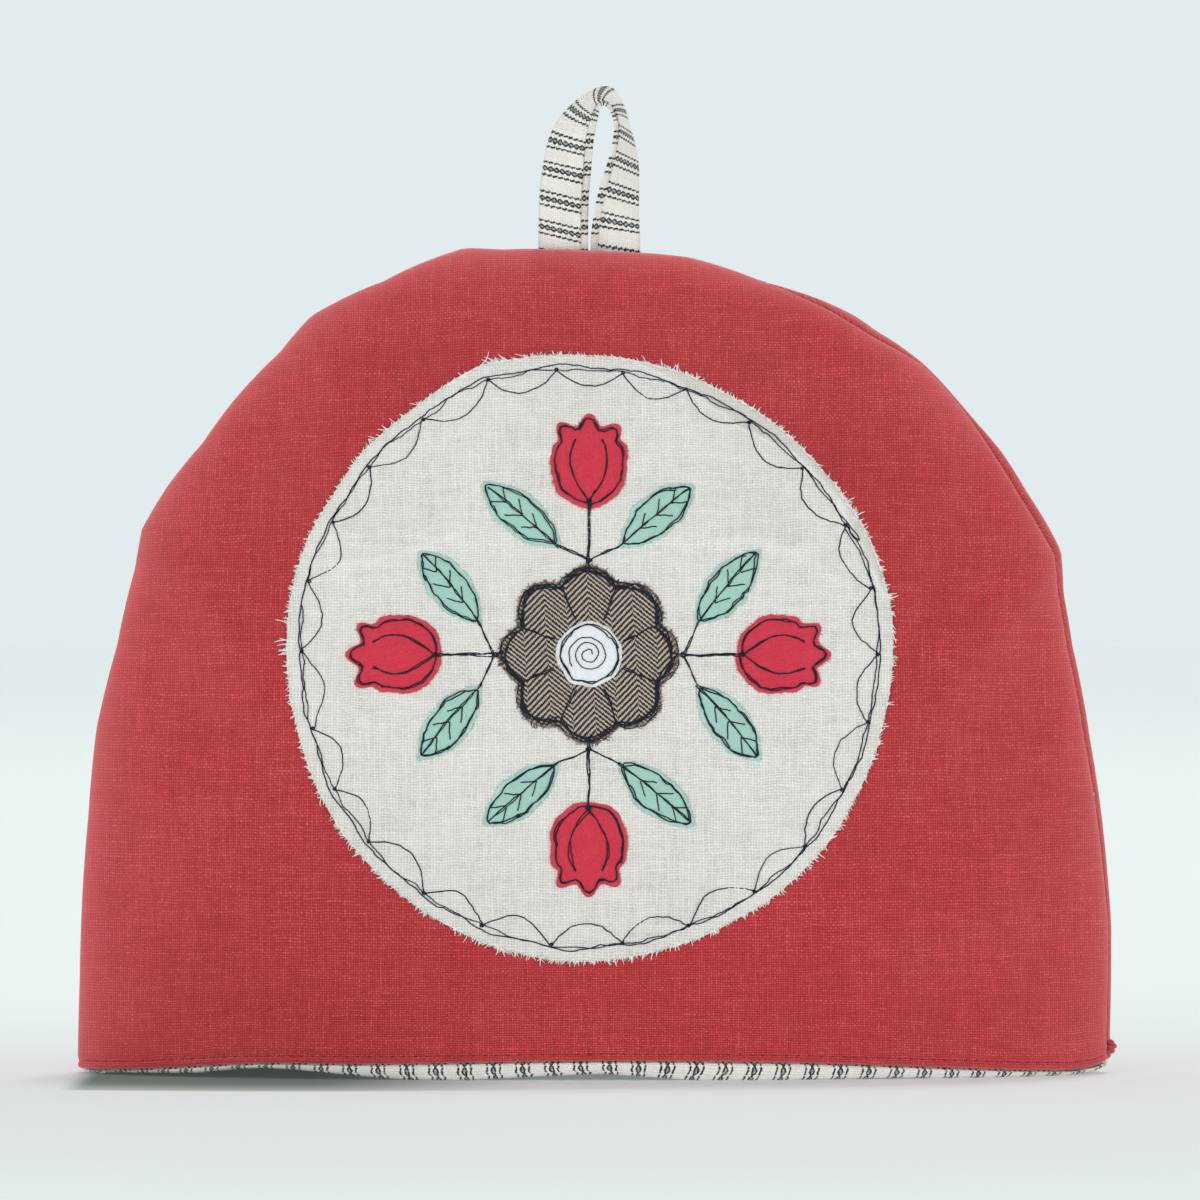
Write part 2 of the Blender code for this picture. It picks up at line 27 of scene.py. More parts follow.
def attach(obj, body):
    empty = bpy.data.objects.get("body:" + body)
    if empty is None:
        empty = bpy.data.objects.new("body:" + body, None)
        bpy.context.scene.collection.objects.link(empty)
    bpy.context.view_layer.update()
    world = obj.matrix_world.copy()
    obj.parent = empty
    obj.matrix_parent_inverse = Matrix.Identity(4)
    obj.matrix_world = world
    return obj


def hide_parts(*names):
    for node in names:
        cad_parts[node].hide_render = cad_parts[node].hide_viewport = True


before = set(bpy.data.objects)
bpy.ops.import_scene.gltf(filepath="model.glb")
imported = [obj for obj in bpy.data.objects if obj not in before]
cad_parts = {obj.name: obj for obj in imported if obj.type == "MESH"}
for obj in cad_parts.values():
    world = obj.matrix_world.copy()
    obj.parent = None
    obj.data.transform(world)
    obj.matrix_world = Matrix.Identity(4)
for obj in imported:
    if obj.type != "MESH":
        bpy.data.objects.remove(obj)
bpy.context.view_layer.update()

LOG = logging.getLogger("tea_cosy")
BODY = "root"
CLOTH_MAP = "cloth"
# Each point's share of the edge colour, or of the light colour below 0: raw-edge tone, and on the cover
# and patch painted shade and highlights.
EDGE_SHARE = "edge_share"
MM = 0.001
TURN = 2 * math.pi

Points = np.ndarray
Spot = tuple[float, float]
Colour = tuple[float, float, float]
Outline = Callable[[Points], Points]
Bend = Callable[[Points], Points]
Relief = Callable[[Points, Points], Points]


class Side(Enum):
    """The two panels of the cosy, by the sign of their Y."""

    FRONT = -1
    BACK = 1

    @property
    def word(self) -> str:
        """Plain name of the side."""
        return self.name.lower()


# ---- Tables of the form, as on the solids ----
class Crease(NamedTuple):
    """A soft trough between two plain points, in millimetres, or a ridge if its depth is negative.

    Bow is how far its middle stands to the left of the straight line; tone is painted light: how
    much paler it is painted than the rest as a highlight, or darker as painted shade where negative.
    """

    start_x: float
    start_z: float
    end_x: float
    end_z: float
    bow: float
    width: float
    depth: float
    tone: float

    def at(self, x: Points, z: Points) -> Points:
        """How fully the crease is worked in at places in millimetres, 0 to 1."""
        run_x, run_z = self.end_x - self.start_x, self.end_z - self.start_z
        length = math.hypot(run_x, run_z)
        along = ((x - self.start_x) * run_x + (z - self.start_z) * run_z) / length ** 2
        aside = ((z - self.start_z) * run_x - (x - self.start_x) * run_z) / length
        aside = aside - self.bow * np.sin(np.clip(along, 0.0, 1.0) * math.pi)
        fade = smooth_step(-0.2, 0.25, along) * smooth_step(1.2, 0.75, along)
        return hump(aside, self.width) * fade


# Bearings run in degrees from the left hem corner over the top; all lengths are in mm.
# How far the outline stands out of the plain dome at a bearing.
OUTLINE_SWELL = (
    (0, 0), (10, -0.6), (27, -0.6), (35, 0.5), (42, -0.6), (48, 0.8), (50.8, 3.2), (54.2, 1.4),
    (58.1, -1.8), (66.3, -2.2), (69.6, 0.9), (75, -0.4), (81, 2.9), (83.5, 0.7), (90, -0.9),
    (96.5, -1.8), (101.7, -5), (111, -4.5), (114.9, -1.7), (120, -1), (126, 1), (131, 4), (134, 0.7),
    (138, -1), (146, -1.4), (152, -0.7), (164, 0.4), (176, -0.9), (180, 0),
)
# How far the seam lies towards the front at a bearing.
SEAM_DRIFT = (
    (0, -2), (20, -3), (55, -3), (80, 0), (102, 0), (105, 3), (109, 5), (112, 4), (115, 1.5), (119, 1.5),
    (123, 5), (129, 5.5), (134, 4), (145, 4), (165, 2.6), (180, 3),
)
# Lower edges of the cover (column 1) and of the lining (column 2) at a place across.
COVER_EDGE, LINING_EDGE = 1, 2
HEM_TABLES = {
    Side.FRONT: (
        (-170, 1.4, 0.4), (-150, 2.2, 0.9), (-130, 3.7, 1.5), (-118, 4.6, 2.9), (-109, 5, 3.4),
        (-98, 5.2, 3), (-77, 5.1, 1.1), (-62, 5.3, 0), (-42, 5.7, 0), (-20, 6.1, 1.2), (2, 6.4, 2.1),
        (18, 6.3, 1), (32, 6.2, 0), (67, 5.6, 0), (100, 4.3, 0.4), (115, 3.5, 0), (138, 2.3, 0),
        (156, 1.7, 0), (163, 2.6, 0.8), (170, 5.2, 2.6),
    ),
    Side.BACK: (
        (-170, 1.4, 0.4), (-158, 1.8, 0), (-110, 3, 0), (-72, 4.2, 1.2), (-50, 4.5, 2), (-25, 4.5, 0.8),
        (-8, 4.6, 0), (42, 4.8, 0), (75, 4.9, 1.6), (95, 4.6, 2.2), (114, 4, 0), (150, 2, 0),
        (163, 2.6, 0.8), (170, 5.2, 2.6),
    ),
}
# Soft troughs that run in from the seam: bearing, width in degrees, reach, depth. A swell where
# the depth is negative.
FOLD_TABLES = {
    Side.FRONT: (
        (20, 9, 60, 1.4), (34, 7, 55, -1.2), (43, 4, 75, 1.8), (51, 4, 60, -1.4), (61, 5, 70, 2.2),
        (70, 4, 50, -1.2), (76, 3, 45, 1.3), (82, 3.5, 55, -1.6), (97, 5, 60, 1.6), (107, 5, 75, 2),
        (118, 4, 55, -1.2), (124, 3, 60, 1.5), (131, 3.5, 60, -1.8), (139, 5, 70, 2), (152, 6, 60, -1),
        (163, 5, 70, 1.6),
    ),
    Side.BACK: (
        (14, 7, 60, -1.2), (26, 6, 70, 1.8), (40, 5, 60, -1.4), (50, 5, 75, 2.2), (64, 5, 60, -1.4),
        (75, 4, 60, 1.8), (90, 6, 50, -1), (104, 5, 75, 2.2), (116, 5, 60, -1.4), (130, 5, 75, 2.2),
        (146, 6, 60, -1.4), (160, 6, 65, 1.6),
    ),
}
# How far the patch's bonded backing reaches at a bearing from its centre, 0 right, 90 up.
BACKING = (
    (-180, 103), (5, 103), (12, 98), (19.6, 94.9), (32, 96), (43.8, 95.2), (55.5, 90.3), (66, 92),
    (80, 97), (90, 103), (180, 103),
)
# Creases of the patch; their tone paints a highlight along each ridge and shade along each trough.
CREASES = tuple(Crease(*row) for row in (
    (-85, 165, -38, 179, -2.2, 1.7, -0.55, 0.6), (-74, 179, -46, 187, 0, 5, 0.4, -0.2),
    (-26, 203, 12, 198, 1, 2, -0.45, 0.45), (-22, 193, 40, 190, 0, 6, 0.3, -0.2),
    (30, 174, 82, 159, 6, 2.2, -0.5, 0.4), (38, 196, 64, 177, 2, 7, 0.35, -0.25),
    (33, 216, 36, 178, -2, 1.6, -0.3, 0.25), (-52, 208, -30, 212, 0, 3, -0.3, 0.25),
    (-88, 118, -60, 112, 1, 3, -0.35, 0.2), (48, 112, 78, 122, 1, 4, -0.3, 0.2),
))
# Outer and inner edge of the strap in the XZ plane: outer x and z, inner x and z.
STRAP_SECTIONS = (
    (-18.6, 273, -2.1, 273), (-18.5, 281, -1.9, 281), (-18.2, 289, -1.7, 289), (-17, 298.6, -1.2, 298.2),
    (-15, 306.8, -0.6, 305.8), (-11, 313.6, 0.2, 311), (-5.2, 319.2, 1, 314.9), (0.8, 322.6, 2, 316.8),
    (5.6, 322.6, 3.6, 316.7), (8.8, 317.6, 5.5, 314.6), (11, 310.6, 6.8, 310.4),
    (12.9, 303.6, 6.2, 304.4), (14.1, 296.6, 4.4, 297.6), (14.2, 288.4, 1.7, 289.6),
    (14.4, 280.4, -0.3, 281.4), (14.8, 273, -1.5, 273),
)


# ---- Small helpers ----
def read_table(table: Sequence[tuple[float, ...]], at: Points | float, column: int = 1) -> Points:
    """Reads a table's column, turned into metres, in straight steps between its rows.

    Args:
        table: Rows in mm whose first column rises.
        at: Places along the first column.
        column: Which column to read.

    Returns:
        The column's values at those places.
    """
    places, values = np.array(table).T[[0, column]]
    return np.interp(at, places, values) * MM


def smooth_step(low: float, high: float, value: Points | float) -> Points:
    """Rises softly from 0 at low to 1 at high."""
    share = np.clip((np.asarray(value) - low) / (high - low), 0.0, 1.0)
    return share * share * (3 - 2 * share)


def hump(distance: Points, width: float) -> Points:
    """A soft bell, 1 where the distance is 0."""
    return np.exp(-(distance / width) ** 2)


def swell(distance: Points, width: float) -> Points:
    """A soft swell from 0 at the edge to 1 at the width, fading out beyond it."""
    return distance / width * np.exp(1 - distance / width)


def headings(degrees: float) -> tuple[Points, Points]:
    """Unit rows of x and z along a bearing and to the left of it."""
    angle = math.radians(degrees)
    axis = np.array([math.cos(angle), math.sin(angle)])
    return axis, np.array([-axis[1], axis[0]])


def round_points(centre: Spot, reach: Points, angle: Points) -> Points:
    """Plain points about a centre, one row of x and z for each angle in radians."""
    return np.column_stack([centre[0] + reach * np.cos(angle), centre[1] + reach * np.sin(angle)])


def unit(rows: Points) -> Points:
    """Rows of length 1 that point the same way."""
    return rows / np.maximum(np.linalg.norm(rows, axis=1, keepdims=True), 1e-12)


def parts_of(kind: type, made: Iterable) -> list:
    """The parts of one kind among those that a mesh operator made."""
    return [part for part in made if isinstance(part, kind)]


def meshed(name: str, builder: BMesh, finish: Material) -> Mesh:
    """Turns a bmesh into a mesh of one finish."""
    mesh = bpy.data.meshes.new(name)
    builder.to_mesh(mesh)
    builder.free()
    mesh.materials.append(finish)
    return mesh


def placed(name: str, data: ID) -> Object:
    """Puts an object of some data in the scene."""
    thing = bpy.data.objects.new(name, data)
    bpy.context.scene.collection.objects.link(thing)
    return thing


def round_rows(rows: Points, steps: int) -> Points:
    """Draws a smooth curve through rows of numbers.

    Args:
        rows: One row for each point that the curve passes through.
        steps: How many rows the curve gets for each stretch.

    Returns:
        The curve's rows, the first and last as given.
    """
    padded = np.vstack([rows[:1], rows, rows[-1:]])
    curve = []
    for a, b, c, d in zip(padded, padded[1:], padded[2:], padded[3:]):
        for step in range(steps):
            t = step / steps
            curve.append(0.5 * (2 * b + (c - a) * t + (2 * a - 5 * b + 4 * c - d) * t ** 2
                                + (3 * b - a - 3 * c + d) * t ** 3))
    return np.array(curve + [rows[-1]])


def row_lengths(rows: Points) -> Points:
    """Distance of each row of a path from its first, along the path."""
    steps = np.linalg.norm(np.diff(rows, axis=0), axis=1)
    return np.concatenate([[0.0], np.cumsum(steps)])


def spaced_rows(rows: Points, places: Points) -> Points:
    """Reads a path at given distances along it."""
    lengths = row_lengths(rows)
    return np.column_stack([np.interp(places, lengths, column) for column in rows.T])


@dataclass(frozen=True)
class Ripple:
    """Smooth unevenness from a few crossing waves, mostly between -1 and 1.

    Attributes:
        seed: Picks the waves.
        wavelength: Typical distance from crest to crest, in metres.
        count: How many waves cross.
    """

    seed: int
    wavelength: float
    count: int = 6

    def at(self, x: Points | float, z: Points | float = 0.0) -> Points:
        """Height of the ripple at plain points."""
        chance = np.random.default_rng(self.seed)
        total = np.zeros(np.broadcast(x, z).shape)
        for _ in range(self.count):
            turn, phase = chance.uniform(0, TURN, 2)
            pace = TURN / self.wavelength * chance.uniform(0.7, 1.4)
            total += np.sin((x * math.cos(turn) + z * math.sin(turn)) * pace + phase)
        return total * math.sqrt(1 / self.count)


# ---- Shader sheets ----
def maths(operation: str, turned: bool = False) -> Callable[..., Signal]:
    """Makes a method that adds one Math node.

    Args:
        operation: The node's operation.
        turned: Whether the signal comes last, as in a number minus a signal.

    Returns:
        The method, which takes the signal and what else the operation needs.
    """
    def method(signal: Signal, *others: Signal | float) -> Signal:
        values = (*others, signal) if turned else (signal, *others)
        return signal.sheet.add("ShaderNodeMath", {"operation": operation}, dict(enumerate(values)))
    return method


@dataclass(frozen=True)
class Signal:
    """A shader socket that takes part in arithmetic, on either side of a number."""

    sheet: NodeSheet
    socket: NodeSocket

    __add__, __radd__ = maths("ADD"), maths("ADD", turned=True)
    __sub__, __rsub__ = maths("SUBTRACT"), maths("SUBTRACT", turned=True)
    __mul__, __rmul__ = maths("MULTIPLY"), maths("MULTIPLY", turned=True)
    __truediv__, __abs__ = maths("DIVIDE"), maths("ABSOLUTE")
    floor, fraction, sine = maths("FLOOR"), maths("FRACT"), maths("SINE")
    # The larger of two values, and 1 where this value is above the other, else 0.
    larger, above = maths("MAXIMUM"), maths("GREATER_THAN")

    def ramp(self, low: float, high: float) -> Signal:
        """Rises softly from 0 at low to 1 at high, or falls where high is below low."""
        return self.sheet.add("ShaderNodeMapRange", {"interpolation_type": "SMOOTHSTEP"},
                              {"Value": self, "From Min": low, "From Max": high})

    def mixed(self, none: Signal | float, full: Signal | float) -> Signal:
        """A value between two, by this factor."""
        return none + (full - none) * self


class NodeSheet:
    """A shader, built up node by node."""

    def __init__(self, tree: NodeTree) -> None:
        """Starts on a node tree."""
        self.tree = tree

    def fill(self, socket: NodeSocket, value: Signal | float | Colour) -> None:
        """Links a signal to a socket, or writes a plain value or an opaque colour to it."""
        if isinstance(value, Signal):
            self.tree.links.new(value.socket, socket)
        else:
            socket.default_value = (*value, 1.0) if socket.type == "RGBA" else value

    def add(self, kind: str, settings: dict[str, object] | None = None,
            sockets: dict[int | str, object] | None = None, output: int | str = 0) -> Signal:
        """Adds a node.

        Args:
            kind: Blender's type of the node.
            settings: Its properties, which are set first.
            sockets: Values or signals for its inputs, by name or number.
            output: The output that is wanted.

        Returns:
            That output as a signal.
        """
        node = self.tree.nodes.new(kind)
        for name, value in (settings or {}).items():
            setattr(node, name, value)
        for key, value in (sockets or {}).items():
            self.fill(node.inputs[key], value)
        return Signal(self, node.outputs[output])

    def blend(self, factor: Signal | float, none: Signal | Colour, full: Signal | Colour) -> Signal:
        """A colour between two, by a factor."""
        return self.add("ShaderNodeMix", {"data_type": "RGBA"}, {0: factor, 6: none, 7: full}, 2)


class FinishSheet(NodeSheet):
    """The shader of one finish."""

    SHEEN_ROUGHNESS = 0.55

    def __init__(self, name: str, roughness: float = 0.9, sheen: float = 0.0,
                 gloss: float = 0.3, tint: Colour = (1, 1, 1)) -> None:
        """Starts a cloth shader.

        Args:
            name: The material's name.
            roughness: Roughness all over.
            sheen: Weight of the soft rim light that loose fibres catch.
            gloss: Specular level.
            tint: Colour of the rim light.
        """
        self.material = bpy.data.materials.new(name)
        self.material.use_nodes = True
        super().__init__(self.material.node_tree)
        self.shader = self.tree.nodes["Principled BSDF"]
        for socket, value in (("Roughness", roughness), ("Sheen Weight", sheen),
                              ("Sheen Roughness", self.SHEEN_ROUGHNESS), ("Sheen Tint", tint),
                              ("Specular IOR Level", gloss)):
            self.set(socket, value)

    def set(self, socket: str, value: Signal | float | Colour) -> None:
        """Sets or links one socket of the shader."""
        self.fill(self.shader.inputs[socket], value)

    def cloth(self) -> tuple[Signal, Signal]:
        """The cloth's own coordinates, across and along, in metres."""
        place = self.add("ShaderNodeUVMap", {"uv_map": CLOTH_MAP})
        return (self.add("ShaderNodeSeparateXYZ", None, {0: place}, "X"),
                self.add("ShaderNodeSeparateXYZ", None, {0: place}, "Y"))

    def attribute(self, name: str) -> Signal:
        """A number that the piece's points carry."""
        return self.add("ShaderNodeAttribute", {"attribute_name": name}, None, "Fac")

    def noise(self, across: Signal, along: Signal, detail: float = 2.0) -> Signal:
        """Soft noise about 0.5 over two coordinates, one unit to a lump."""
        place = self.add("ShaderNodeCombineXYZ", None, {"X": across, "Y": along})
        return self.add("ShaderNodeTexNoise", {"noise_dimensions": "2D"},
                        {"Vector": place, "Scale": 1.0, "Detail": detail})

    def chance(self, number: Signal) -> Signal:
        """A random share for each whole number."""
        return self.add("ShaderNodeTexWhiteNoise", {"noise_dimensions": "1D"}, {"W": number})

    def done(self, body: Signal, height: Signal, depth: float) -> Material:
        """Colours the shader, bumps it by a height whose unit is depth metres, and ends it."""
        bump = self.add("ShaderNodeBump", None, {"Height": height, "Distance": depth, "Strength": 1.0})
        self.set("Base Color", body)
        self.set("Normal", bump)
        return self.material


class Threads(NamedTuple):
    """What a weave gives at each point: its relief, its tone and how open it is; finishes paint shade
    into the open places.
    """

    height: Signal
    tone: Signal
    gap: Signal


@dataclass(frozen=True)
class Weave:
    """A plain weave of uneven threads.

    Attributes:
        pitch_across: Distance between the upright threads.
        pitch_along: Distance between the level threads.
        fullness: Half width of a thread, as a share of the pitch.
        slub: How strongly thick and thin places change the level threads' tone.
        warp_slub: The same for the upright threads.
        wander: How far threads stray, as a share of the pitch.
        contrast: How much lighter the level threads are.
        knots: How much the tone jumps from crossing to crossing.
        roundness: How much painted shade darkens a thread's sides against its crown.
    """

    pitch_across: float
    pitch_along: float
    fullness: float = 0.47
    slub: float = 0.35
    warp_slub: float = 0.25
    wander: float = 0.5
    contrast: float = 0.3
    knots: float = 0.8
    roundness: float = 0.7

    STREAK_LENGTH = 12 * MM
    WANDER_LENGTH = 8 * MM
    NEIGHBOUR_STEP = 3.7

    def threads(self, sheet: FinishSheet, across: Signal, along: Signal) -> Threads:
        """Lays the weave over the cloth's coordinates.

        Args:
            sheet: The finish that gets the nodes.
            across: Cloth coordinate across, in metres.
            along: Cloth coordinate along, in metres.

        Returns:
            Relief, tone and openness.
        """
        stray = sheet.noise(across / self.WANDER_LENGTH, along / self.WANDER_LENGTH) - 0.5
        column = across / self.pitch_across + stray * self.wander
        row = along / self.pitch_along + stray * (-2 * self.wander)
        column_number, row_number = column.floor(), row.floor()
        warp_streak = sheet.noise(column_number * self.NEIGHBOUR_STEP,
                                  along / self.STREAK_LENGTH, 3.0) - 0.5
        weft_streak = sheet.noise(across / self.STREAK_LENGTH,
                                  row_number * self.NEIGHBOUR_STEP, 3.0) - 0.5
        warp_tone = (warp_streak * (4 * self.warp_slub)
                     + (sheet.chance(column_number) - 0.5) * 0.35 - self.contrast)
        weft_tone = (weft_streak * (4 * self.slub)
                     + (sheet.chance(row_number) - 0.5) * 0.35 + self.contrast)
        warp_off = (column.fraction() - 0.5) / (warp_streak * 0.5 + self.fullness)
        weft_off = (row.fraction() - 0.5) / (weft_streak * 0.5 + self.fullness)
        over = (column * math.pi).sine() * (row * math.pi).sine() * 0.6
        warp_height = 1 - warp_off * warp_off + over
        weft_height = 1 - weft_off * weft_off - over
        height = warp_height.larger(weft_height)
        knot = sheet.chance(column_number * 1.37 + row_number * 57.3) - 0.5
        # Part of the tone is painted shade: it falls where the relief is low, down the threads' sides.
        tone = (warp_height.above(weft_height).mixed(weft_tone, warp_tone)
                + knot * self.knots + (height - 1.1) * self.roundness)
        return Threads(height, tone, height.ramp(1.15, 0.25))


@dataclass(frozen=True)
class LinenFinish:
    """Slubbed plain-weave linen. Above 0 its edge attribute blends towards the edge colour: painted
    shade in the cover's seam, over its upper dome and in the patch's crease troughs, and the dull
    unbacked tone on the patch. Below 0 it blends towards the light colour as a painted highlight.

    Where hem_height is above 0, the holes of a line of topstitching run at that height, darkened
    with the edge colour as painted shade.
    """

    name: str
    weave: Weave
    dark: Colour
    main: Colour
    light: Colour
    edge: Colour
    relief: float
    sheen: float
    tint: Colour = (1, 1, 1)
    gap_share: float = 0.8
    edge_share: float = 0.6
    hem_height: float = 0.0
    hem_pitch: float = 3.75 * MM

    def material(self) -> Material:
        """Builds the finish."""
        sheet = FinishSheet(self.name, 0.92, self.sheen, 0.2, self.tint)
        across, along = sheet.cloth()
        threads = self.weave.threads(sheet, across, along)
        fibre = sheet.noise(across / (0.55 * MM), along / (0.45 * MM), 2.0) - 0.5
        cloud = sheet.noise(across / (45 * MM), along / (30 * MM), 2.0) - 0.5
        tone = threads.tone + fibre * 1.9 + cloud * 0.5
        body = sheet.blend(tone.ramp(0.0, 1.3), self.main, self.light)
        body = sheet.blend(tone.ramp(0.0, -1.6) * 0.7, body, self.dark)
        # Painted shade in the gaps between threads.
        body = sheet.blend(threads.gap * self.gap_share, body, self.dark)
        # Edge attribute: below 0 a painted highlight in the light colour; above 0 the edge colour,
        # painted shade on the cover and in crease troughs, and the unbacked tone on the patch.
        share = sheet.attribute(EDGE_SHARE)
        body = sheet.blend(share.ramp(0.0, -1.0) * 0.7, body, self.light)
        body = sheet.blend(share.larger(0.0) * self.edge_share, body, self.edge)
        height = threads.height + fibre * 0.4
        if self.hem_height:
            # Stitch holes: sunk, and darkened with the edge colour as painted shade in their dimples.
            place = (across / self.hem_pitch).fraction() - 0.5
            hole = abs(place).ramp(0.19, 0.08) * abs(along - self.hem_height).ramp(0.5 * MM, 0.15 * MM)
            body = sheet.blend(hole * 0.9, body, self.edge)
            height = height - hole * 1.2
        return sheet.done(body, height, self.relief)


@dataclass(frozen=True)
class TickingFinish:
    """Cream cotton with groups of a dark chain line between two dashed lines."""

    name: str = "ticking"
    group_reach: float = 2.1 * MM
    line_half: float = 0.33 * MM
    dash: float = 1.9 * MM
    chain_pitch: float = 2.0 * MM
    chain_swing: float = 0.62 * MM
    chain_half: float = 0.34 * MM
    cream: Colour = (0.8, 0.765, 0.7)
    shade: Colour = (0.56, 0.52, 0.455)
    white: Colour = (0.9, 0.88, 0.835)
    ink: Colour = (0.022, 0.034, 0.032)

    REPEAT = 9.4 * MM

    def stripes(self, sheet: FinishSheet, across: Signal, along: Signal) -> Signal:
        """Where the woven lines lie, 1 in a line and 0 beside it."""
        wobble = (sheet.noise(across / (1.2 * MM), along / (0.9 * MM)) - 0.5) * (0.6 * MM)
        place = ((across / self.REPEAT).fraction() - 0.5) * self.REPEAT + wobble
        swing = (along * (math.pi / self.chain_pitch)).sine() * self.chain_swing
        strand = abs(place - swing).ramp(self.chain_half * 1.25, self.chain_half * 0.75)
        other = abs(place + swing).ramp(self.chain_half * 1.25, self.chain_half * 0.75)
        filled = (abs(swing) - abs(place)).ramp(-0.1 * MM, 0.1 * MM) * 0.6
        slant = (along * (TURN / self.dash)).sine() * (0.14 * MM)
        beside = abs(abs(place + slant) - self.group_reach)
        dashes = (along / self.dash).fraction() - 0.45
        thin = beside.ramp(self.line_half * 1.3, self.line_half * 0.7) * abs(dashes).ramp(0.52, 0.40)
        return strand.larger(other).larger(thin).larger(filled)

    def material(self) -> Material:
        """Builds the finish."""
        sheet = FinishSheet(self.name, roughness=0.9, sheen=0.15, gloss=0.2)
        across, along = sheet.cloth()
        weave = Weave(0.62 * MM, 0.60 * MM, fullness=0.5, slub=0.25, warp_slub=0.25)
        threads = weave.threads(sheet, across, along)
        ground = sheet.blend(threads.tone.ramp(-0.8, 0.8), self.cream, self.white)
        ground = sheet.blend(threads.gap * 0.5, ground, self.shade)
        lines = self.stripes(sheet, across, along)
        fleck = threads.tone.ramp(0.2, 0.9) * 0.3
        body = sheet.blend(lines * (1 - fleck), ground, self.ink)
        return sheet.done(body, threads.height + lines * 0.8, 0.12 * MM)


@dataclass(frozen=True)
class TweedFinish:
    """Brown herringbone wool, its lines closer together one way than the other."""

    name: str = "tweed"
    column: float = 7.1 * MM
    line: float = 1.95 * MM
    closer: float = 1.2
    slope: float = 0.92
    grain: float = 0.62 * MM
    dark: Colour = (0.018, 0.019, 0.024)
    light: Colour = (0.57, 0.465, 0.375)
    edge: Colour = (0.38, 0.27, 0.19)

    def material(self) -> Material:
        """Builds the finish."""
        sheet = FinishSheet(self.name, roughness=0.97, sheen=0.15, gloss=0.1)
        across, along = sheet.cloth()
        stray = (sheet.noise(across / (2 * MM), along / (2 * MM)) - 0.5) * (0.5 * MM)
        leg = (across / (2 * self.column)).fraction() - 0.5
        line = (along + abs(leg) * (2 * self.column * self.slope) + stray) * (TURN / self.line)
        ridge = leg.above(0.0).mixed(line.sine(), (line * self.closer).sine())
        stitch = ((across + along * 0.4) * (TURN / self.grain)).sine() * 0.45
        fibre = sheet.noise(across / (0.45 * MM), along / (0.40 * MM), 2.0) - 0.5
        level = ridge + stitch + fibre * 1.8
        body = sheet.blend(level.ramp(-0.45, 0.75), self.dark, self.light)
        body = sheet.blend(sheet.attribute(EDGE_SHARE) * 0.5, body, self.edge)
        return sheet.done(body, ridge * 0.5 + fibre * 1.4 + stitch, 0.16 * MM)


@dataclass(frozen=True)
class CottonFinish:
    """Fine plain cotton, its raw-cut edge of another tone."""

    name: str
    main: Colour
    light: Colour
    dark: Colour
    edge: Colour
    edge_share: float = 0.5
    sheen: float = 0.2

    def material(self) -> Material:
        """Builds the finish."""
        sheet = FinishSheet(self.name, roughness=0.88, sheen=self.sheen, gloss=0.25)
        across, along = sheet.cloth()
        threads = Weave(0.48 * MM, 0.45 * MM, slub=0.2, warp_slub=0.15).threads(sheet, across, along)
        cloud = sheet.noise(across / (6 * MM), along / (5 * MM)) - 0.5
        tone = threads.tone + cloud * 0.8
        body = sheet.blend(tone.ramp(-0.7, 0.9), self.main, self.light)
        # Painted shade in the gaps between threads.
        body = sheet.blend(threads.gap * 0.35, body, self.dark)
        rim = sheet.attribute(EDGE_SHARE) * self.edge_share
        return sheet.done(sheet.blend(rim, body, self.edge), threads.height, 0.07 * MM)


@dataclass(frozen=True)
class ThreadFinish:
    """Sewing thread or a loose yarn end, mottled along its length."""

    name: str
    main: Colour
    other: Colour
    grain: float = 0.6 * MM

    def material(self) -> Material:
        """Builds the finish."""
        sheet = FinishSheet(self.name, roughness=0.7, gloss=0.25)
        place = sheet.add("ShaderNodeTexCoord", output="Object")
        fleck = sheet.add("ShaderNodeTexNoise", None,
                          {"Vector": place, "Scale": 1 / self.grain, "Detail": 1.0})
        body = sheet.blend(fleck.ramp(0.35, 0.65), self.main, self.other)
        return sheet.done(body, fleck, 0.05 * MM)


